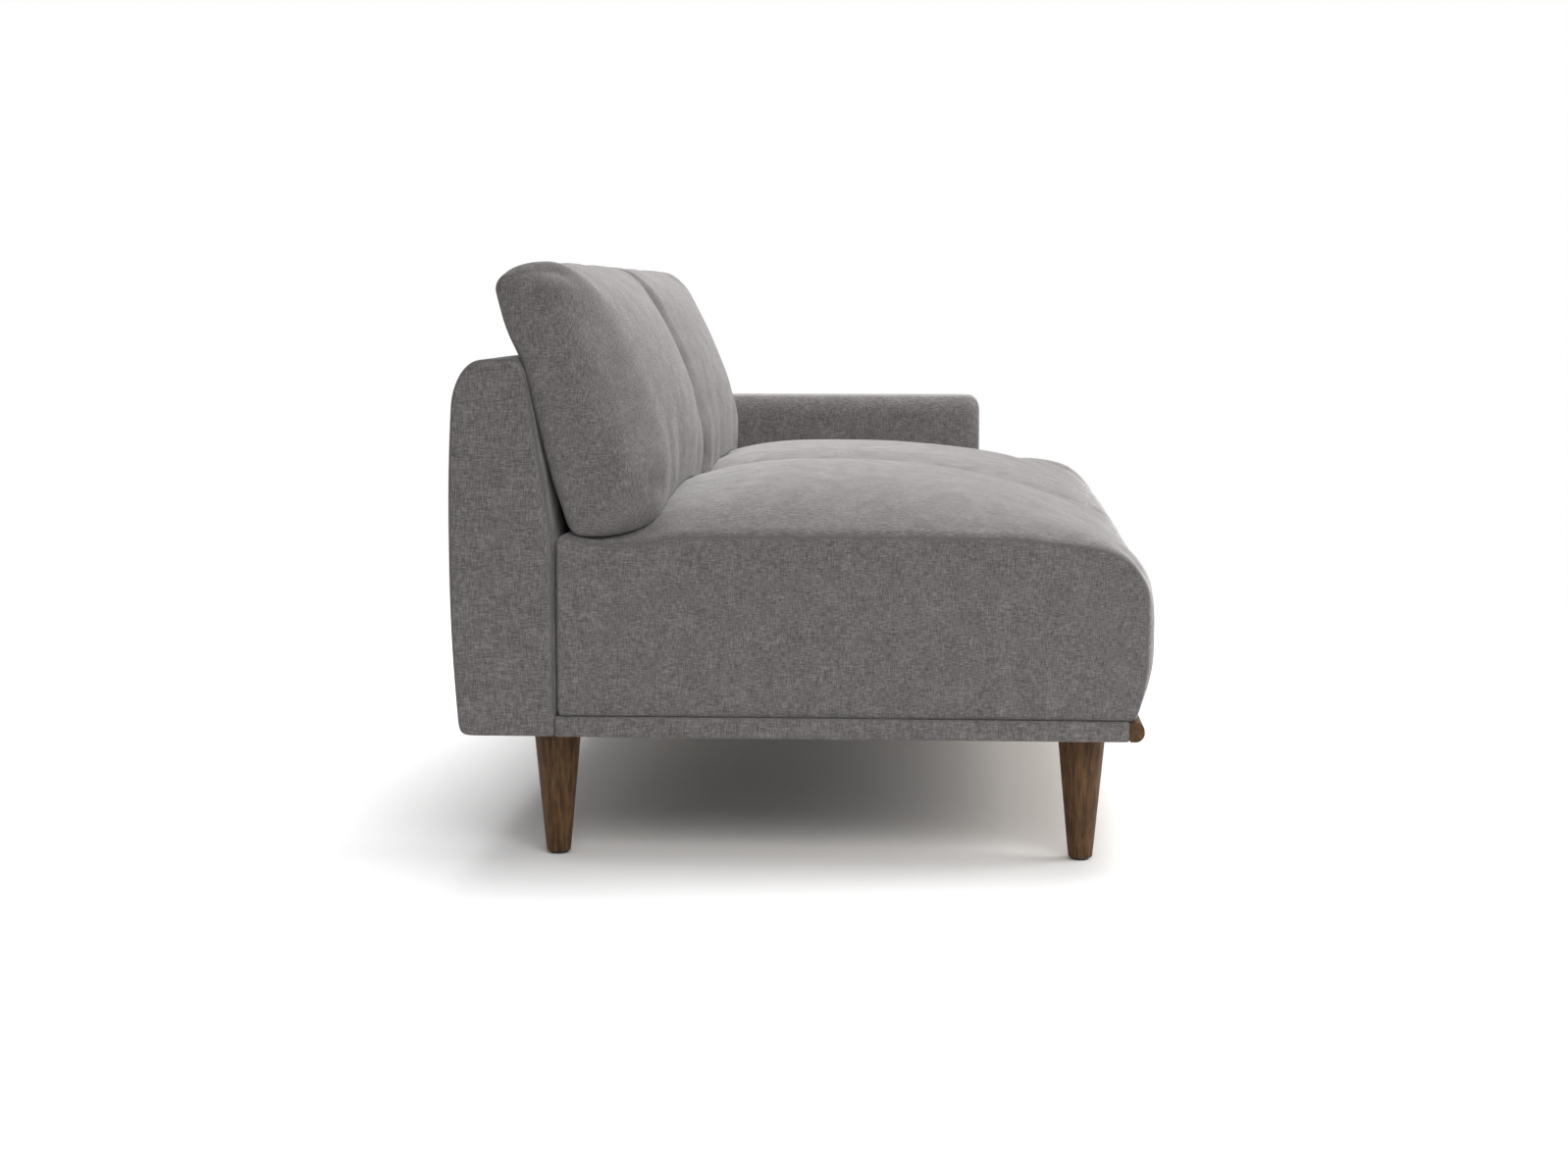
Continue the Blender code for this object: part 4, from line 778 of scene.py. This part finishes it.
def push_out(bm, side, x):
    """Moves faces out to x and closes the gap round them, in the same order of points on every run."""
    border = [edge for face in side for edge in face.edges if not all(f in side for f in edge.link_faces)]
    moved = {}
    for vert in (vert for face in side for vert in face.verts):
        if vert not in moved:
            moved[vert] = bm.verts.new((x, vert.co.y, vert.co.z))
    for face in side:
        bm.faces.new([moved[vert] for vert in face.verts])
    for first, second in (edge.verts for edge in border):
        bm.faces.new((first, second, moved[second], moved[first]))
    bmesh.ops.delete(bm, geom=side, context="FACES")


seat_cloth = grey_cloth("grey_cloth_seats", sheen=1.0)
seat_blocks = {}
for end_name in ("open", "arm"):
    low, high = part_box(f"seat_cover_{end_name}")
    high.z = SEAT_SEAM
    zip_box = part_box(f"seat_zip_{end_name}")
    ear = None
    right = high.x
    if end_name == "arm":
        arm_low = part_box("arm_cover")[0]
        ear = (arm_low.x - EAR_GAP, arm_low.y - EAR_GAP)
        right = ear[0]
    fullness = [table[end_name] for table in (SEAT_RISE, SEAT_REAR_REACH, SEAT_SHOULDER, SEAT_SADDLE)]
    seat_blocks[end_name] = (low, high, ear, *fullness)
    bm = divided_box(low, Vector((right, high.y, high.z)), (60, 66, 20), (0.6, 0.5, 0.5))
    if ear:
        nearest = min((abs(vert.co.y - ear[1]), vert.co.y) for vert in bm.verts)[1]
        for vert in bm.verts:
            if same(vert.co.y, nearest):
                vert.co.y = ear[1]
        for step in range(1, EAR_STEPS + 1):
            side = [
                face
                for face in bm.faces
                if all(same(v.co.x, right) and v.co.y < ear[1] + SAME_PLACE for v in face.verts)
            ]
            share = math.sin(math.pi / 2 * step / EAR_STEPS)
            right = ear[0] + (high.x - ear[0]) * share
            push_out(bm, side, right)
    seam_shade = bm.verts.layers.float.new("seam_shade")
    sewn = bm.verts.layers.float.new("sewn")
    for vert in bm.verts:
        x, y, z = vert.co
        at_rear = same(y, high.y)
        at_foot = same(z, low.z)
        at_end = same(x, low.x) or same(x, high.x)
        at_border = same(z, high.z) or at_foot or same(y, low.y) or at_rear
        if ear and not at_end:
            beside_arm = same(x, ear[0]) and y > ear[1] - SAME_PLACE
            behind_ear = same(y, ear[1]) and x > ear[0]
            at_end = beside_arm or behind_ear
        # Marks the seams, where painted shade darkens the cloth.
        vert[seam_shade] = 1.0 if at_end and at_border else 0.0
        vert[sewn] = 1.0 if at_end or at_foot or at_rear else 0.0
        vert.co = seat_surface(vert.co, *seat_blocks[end_name])
        if at_rear:
            vert.co.y -= ZIP_SLOT * zip_slot(vert.co, *zip_box)
    seat = new_piece(
        f"seat_cushion_cloth_{end_name}", bm, seat_cloth, f"seat_cushion_{end_name}"
    )
    add_folds(seat, (low.x, -math.inf, low.z), (high.x, high.y, math.inf))
    smooth_over(seat, 1)
    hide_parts(f"seat_cover_{end_name}", f"seat_foam_{end_name}")


# Back cushions: softer boxed cushions, thick at the foot and thin at the top, filled with fibre.
# Each stands on its seat cushion and leans on the top edge of the back.
# The cover is the same grey cloth, and its full front rolls round to the ends.
CUSHION_HEIGHT = 0.384
CUSHION_FOOT = 0.160
CUSHION_HEAD = 0.104
CUSHION_LEAN = math.radians(14.5)
CUSHION_PLACE = (0.3213, 0.4510)  # depth and height at which its heel stands
# Rounding of an edge: depth at the ends, share of the thickness, depth at the top
CUSHION_REAR_EDGE = (0.016, 0.12, 0.030)
CUSHION_FRONT_EDGE = (0.090, 0.42, 0.060)
CUSHION_HEEL = 0.027
CUSHION_HEEL_GAP = 0.004
CUSHION_HEEL_HEIGHT = 0.080
CUSHION_TOE = 0.110
CUSHION_TOP_SHARE = 0.50
CUSHION_TOP_SHARE_POWER = 8
CUSHION_TOP_SQUARE = 0.38
CUSHION_TOP_SQUARE_POWER = 4
CUSHION_FOLDS = (  # distance from the end, depth and width of each fold
    (0.070, 0.0025, 0.018),
    (0.135, 0.0035, 0.026),
    (0.230, 0.0025, 0.034),
)
CUSHION_FOLD_START = 0.030
CUSHION_FOLD_HEIGHT = 0.190
CUSHION_FULLNESS = {"open": 0.039, "arm": 0.028}
CUSHION_FULL_FROM_FOOT = 0.200
CUSHION_FULL_FROM_TOP = 0.160
CUSHION_NAPE = 0.009
CUSHION_NAPE_START = 0.260
CUSHION_NAPE_REACH = 0.060
CUSHION_SAG = 0.025
CUSHION_SAG_HEIGHT = 0.100
CUSHION_REST = 0.002
CUSHION_ZIP_SLOT = 0.013


def rounded(point, low, high, low_rounds, high_rounds):
    """Moves a point near the edges and corners of a block onto one round; each side has its own depth."""
    shares = []
    for value, start, end, low_round, high_round in zip(point, low, high, low_rounds, high_rounds):
        near_start = min(0.0, (value - start) / low_round - 1.0)
        near_end = max(0.0, (value - end) / high_round + 1.0)
        shares.append(near_start + near_end)
    reach = math.hypot(*shares)
    if reach == 0.0:
        return list(point)
    draw = max(abs(share) for share in shares) / reach
    spot = []
    for axis, share in enumerate(shares):
        value = point[axis]
        if share < 0.0:
            value = low[axis] + low_rounds[axis] * (1.0 + share * draw)
        elif share > 0.0:
            value = high[axis] - high_rounds[axis] * (1.0 - share * draw)
        spot.append(value)
    return spot


cushion_cloth = grey_cloth("grey_cloth_back_cushions", sheen=0.30)
lean = Matrix.Translation((0.0, *CUSHION_PLACE)) @ Matrix.Rotation(-CUSHION_LEAN, 4, "X")
for end_name in ("open", "arm"):
    low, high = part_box(f"back_cushion_cover_{end_name}")
    zip_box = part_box(f"back_cushion_zip_{end_name}")
    half_width = (high.x - low.x) / 2
    corners = ((low.x, -1.0, 0.0), (high.x, 0.0, CUSHION_HEIGHT))
    bm = divided_box(*corners, (60, 18, 36), (0.6, 0.2, 0.4))
    seam_shade = bm.verts.layers.float.new("seam_shade")
    sewn = bm.verts.layers.float.new("sewn")
    for vert in bm.verts:
        x, forward, z = vert.co
        at_end = same(x, low.x) or same(x, high.x)
        at_rear = same(forward, 0.0)
        # Marks the seams, where painted shade darkens the cloth.
        vert[seam_shade] = 1.0 if at_end and same(z, CUSHION_HEIGHT) else 0.0
        vert[sewn] = 1.0 if at_rear or same(z, 0.0) else 0.0
        across = arch(x - low.x, half_width) * arch(high.x - x, half_width)
        end_round = CUSHION_REAR_EDGE[0] + (CUSHION_FRONT_EDGE[0] - CUSHION_REAR_EDGE[0]) * -forward
        top_round = CUSHION_REAR_EDGE[2] + (CUSHION_FRONT_EDGE[2] - CUSHION_REAR_EDGE[2]) * -forward
        foot_round = CUSHION_HEEL + (CUSHION_TOE - CUSHION_HEEL) * -forward
        near_top = (z / CUSHION_HEIGHT) ** CUSHION_TOP_SHARE_POWER
        end_round *= 1.0 - CUSHION_TOP_SQUARE * (z / CUSHION_HEIGHT) ** CUSHION_TOP_SQUARE_POWER
        front_share = CUSHION_FRONT_EDGE[1] + (CUSHION_TOP_SHARE - CUSHION_FRONT_EDGE[1]) * near_top
        rear_share = CUSHION_REAR_EDGE[1] + (CUSHION_TOP_SHARE - CUSHION_REAR_EDGE[1]) * near_top
        low_rounds = (end_round, front_share, foot_round)
        high_rounds = (end_round, rear_share, top_round)
        x, forward, z = rounded(vert.co, *corners, low_rounds, high_rounds)
        share = z / CUSHION_HEIGHT
        y = forward * (CUSHION_FOOT + (CUSHION_HEAD - CUSHION_FOOT) * share)
        up = arch(z, CUSHION_FULL_FROM_FOOT) * arch(CUSHION_HEIGHT - z, CUSHION_FULL_FROM_TOP)
        y += CUSHION_FULLNESS[end_name] * forward**3 * up * across
        from_end = min(x - low.x, high.x - x)
        for place, depth, width in CUSHION_FOLDS:
            fold = depth * math.exp(-(((from_end - place) / width) ** 2))
            fold_end = arch(CUSHION_FOLD_HEIGHT - z, CUSHION_FOLD_HEIGHT)
            y -= fold * forward**3 * arch(z, CUSHION_FOLD_START) * fold_end
        y -= CUSHION_HEEL_GAP * (1.0 + forward) * arch(CUSHION_HEEL_HEIGHT - z, CUSHION_HEEL_HEIGHT)
        y += CUSHION_NAPE * (1.0 + forward) * arch(z - CUSHION_NAPE_START, CUSHION_NAPE_REACH)
        near_foot = max(0.0, 1.0 - z / CUSHION_SAG_HEIGHT)
        z -= CUSHION_SAG * math.sin(math.pi * min(-forward, 1.0)) * near_foot
        spot = lean @ Vector((x, y, z))
        if at_rear:
            spot.y -= CUSHION_ZIP_SLOT * zip_slot(spot, *zip_box)
        below = seat_surface(Vector((spot.x, spot.y, SEAT_SEAM)), *seat_blocks[end_name])
        spot.z = max(spot.z, below.z + CUSHION_REST)
        vert.co = spot
    cushion = new_piece(
        f"back_cushion_cloth_{end_name}", bm, cushion_cloth, f"back_cushion_{end_name}"
    )
    add_folds(cushion, (low.x, -math.inf, 0.0), (high.x, math.inf, math.inf))
    smooth_over(cushion, 1)
    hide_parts(f"back_cushion_cover_{end_name}", f"back_cushion_foam_{end_name}")


# Zips: a moulded zip along the rear of each cushion cover, so that the cover comes off for washing.
# The tape and teeth are sewn into a slot in the cover, and a small zinc slider runs along the teeth.
ZIP_TAPE = (0.030, 0.028, 0.028)
ZIP_GAP = (0.060, 0.057, 0.055)
ZIP_TOOTH = (0.240, 0.228, 0.222)
ZIP_TEETH_SHARE = 0.28  # width of the row of teeth against that of the tape
TEETH_SCALE = 110.0
TEETH_WAVER = 0.2

zip_material, tree, shader = fresh_material("zip_tape")
teeth = tree.nodes.new("ShaderNodeTexWave")
teeth.inputs["Scale"].default_value = TEETH_SCALE
teeth.inputs["Distortion"].default_value = TEETH_WAVER
place = tree.nodes.new("ShaderNodeTexCoord")
tree.links.new(place.outputs["Object"], teeth.inputs["Vector"])
across_tape = tree.nodes.new("ShaderNodeSeparateXYZ")
tree.links.new(place.outputs["Generated"], across_tape.inputs["Vector"])
from_middle = arithmetic(tree, "ABSOLUTE", arithmetic(tree, "SUBTRACT", across_tape.outputs["Z"], 0.5))
in_row = arithmetic(tree, "LESS_THAN", from_middle, ZIP_TEETH_SHARE / 2)
zip_stops = [(0.05, ZIP_TAPE), (0.30, ZIP_GAP), (0.90, ZIP_TOOTH)]
tooth = arithmetic(tree, "MULTIPLY", in_row, levels(tree, teeth.outputs["Fac"], 0.3, 1.0))
tree.links.new(shades(tree, tooth, zip_stops), shader.inputs["Base Color"])
tree.links.new(levels(tree, streaks(tree, (300, 300, 300)), 0.5, 0.7), shader.inputs["Roughness"])
relief(tree, shader, teeth.outputs["Fac"], depth=0.0008)
slider_zinc = zinc_plate("zinc_sliders")
for end_name in ("open", "arm"):
    dress(zip_material, f"seat_zip_{end_name}", f"back_cushion_zip_{end_name}")
    dress(slider_zinc, f"seat_zip_slider_{end_name}", f"back_cushion_zip_slider_{end_name}")


# Floor and light: a plain white studio floor that fades into a white backdrop, and a pale surround.
# Four soft lamps stand in front, off the open end, overhead and beyond the arm.
# The camera stands off the open end, a little lower than the tops of the back cushions.
WHITE = (1.0, 1.0, 1.0, 1.0)
SURROUND_STRENGTH = 0.42
BACKDROP_STRENGTH = 1.0
FLOOR_COLOUR = (0.97, 0.97, 0.97, 1.0)
FLOOR_FULL = 1.3  # how far from the middle the floor starts to fade
FLOOR_END = 3.0
CAMERA_PLACE = (-4.498, -0.2086, 0.7828)
CAMERA_YAW = math.radians(3.564)
CAMERA_PITCH = math.radians(6.086)
CAMERA_LENS = 62.22
CAMERA_SENSOR = 36.0


def lamp(name, place, target, width, height, power):
    """A soft rectangular studio lamp turned towards a target."""
    light = bpy.data.lights.new(name, "AREA")
    light.shape = "RECTANGLE"
    light.size = width
    light.size_y = height
    light.energy = power
    holder = bpy.data.objects.new(name, light)
    holder.location = place
    holder.rotation_euler = (Vector(target) - Vector(place)).to_track_quat("-Z", "Y").to_euler()
    bpy.context.scene.collection.objects.link(holder)


lamp("front_lamp", (-0.2, -3.2, 1.8), (0.0, -0.1, 0.4), 2.6, 1.8, 58.0)
lamp("end_lamp", (-5.6, -1.6, 4.0), (0.2, 0.0, 0.5), 4.2, 3.2, 168.0)
lamp("top_lamp", (0.4, -0.2, 3.0), (0.0, 0.0, 0.4), 3.0, 2.0, 98.0)
lamp("far_lamp", (4.2, -0.4, 2.8), (-0.2, 0.0, 0.5), 2.8, 1.2, 150.0)

world = bpy.data.worlds.new("studio")
world.use_nodes = True
bpy.context.scene.world = world
tree = world.node_tree
surround = tree.nodes["Background"]
surround.inputs["Color"].default_value = WHITE
surround.inputs["Strength"].default_value = SURROUND_STRENGTH
backdrop = tree.nodes.new("ShaderNodeBackground")
backdrop.inputs["Color"].default_value = WHITE
backdrop.inputs["Strength"].default_value = BACKDROP_STRENGTH
rays = tree.nodes.new("ShaderNodeLightPath")
seen = arithmetic(tree, "MAXIMUM", rays.outputs["Is Camera Ray"], rays.outputs["Is Glossy Ray"])
seen = arithmetic(tree, "MAXIMUM", seen, rays.outputs["Is Transmission Ray"])
choose = tree.nodes.new("ShaderNodeMixShader")
tree.links.new(seen, choose.inputs["Fac"])
tree.links.new(surround.outputs["Background"], choose.inputs[1])
tree.links.new(backdrop.outputs["Background"], choose.inputs[2])
tree.links.new(choose.outputs["Shader"], tree.nodes["World Output"].inputs["Surface"])

floor_material, tree, shader = fresh_material("studio_floor")
shader.inputs["Base Color"].default_value = FLOOR_COLOUR
shader.inputs["Roughness"].default_value = 0.95
shader.inputs["Specular IOR Level"].default_value = 0.1
place = tree.nodes.new("ShaderNodeTexCoord")
from_middle = tree.nodes.new("ShaderNodeVectorMath")
from_middle.operation = "LENGTH"
tree.links.new(place.outputs["Object"], from_middle.inputs[0])
fade = tree.nodes.new("ShaderNodeMapRange")
fade.inputs["From Min"].default_value = FLOOR_FULL
fade.inputs["From Max"].default_value = FLOOR_END
fade.inputs["To Min"].default_value = 1.0
fade.inputs["To Max"].default_value = 0.0
tree.links.new(from_middle.outputs["Value"], fade.inputs["Value"])
tree.links.new(fade.outputs["Result"], shader.inputs["Alpha"])
bm = bmesh.new()
bmesh.ops.create_grid(bm, x_segments=2, y_segments=2, size=FLOOR_END)
floor_mesh = bpy.data.meshes.new("studio_floor")
bm.to_mesh(floor_mesh)
bm.free()
floor_mesh.materials.append(floor_material)
floor = bpy.data.objects.new("studio_floor", floor_mesh)
bpy.context.scene.collection.objects.link(floor)

camera_data = bpy.data.cameras.new("camera")
camera_data.lens = CAMERA_LENS
camera_data.sensor_width = CAMERA_SENSOR
camera = bpy.data.objects.new("camera", camera_data)
camera.location = CAMERA_PLACE
look = Vector(
    (
        math.cos(CAMERA_YAW) * math.cos(CAMERA_PITCH),
        math.sin(CAMERA_YAW) * math.cos(CAMERA_PITCH),
        -math.sin(CAMERA_PITCH),
    )
)
camera.rotation_euler = look.to_track_quat("-Z", "Y").to_euler()
bpy.context.scene.collection.objects.link(camera)
bpy.context.scene.camera = camera
bpy.context.scene.view_settings.view_transform = "Standard"
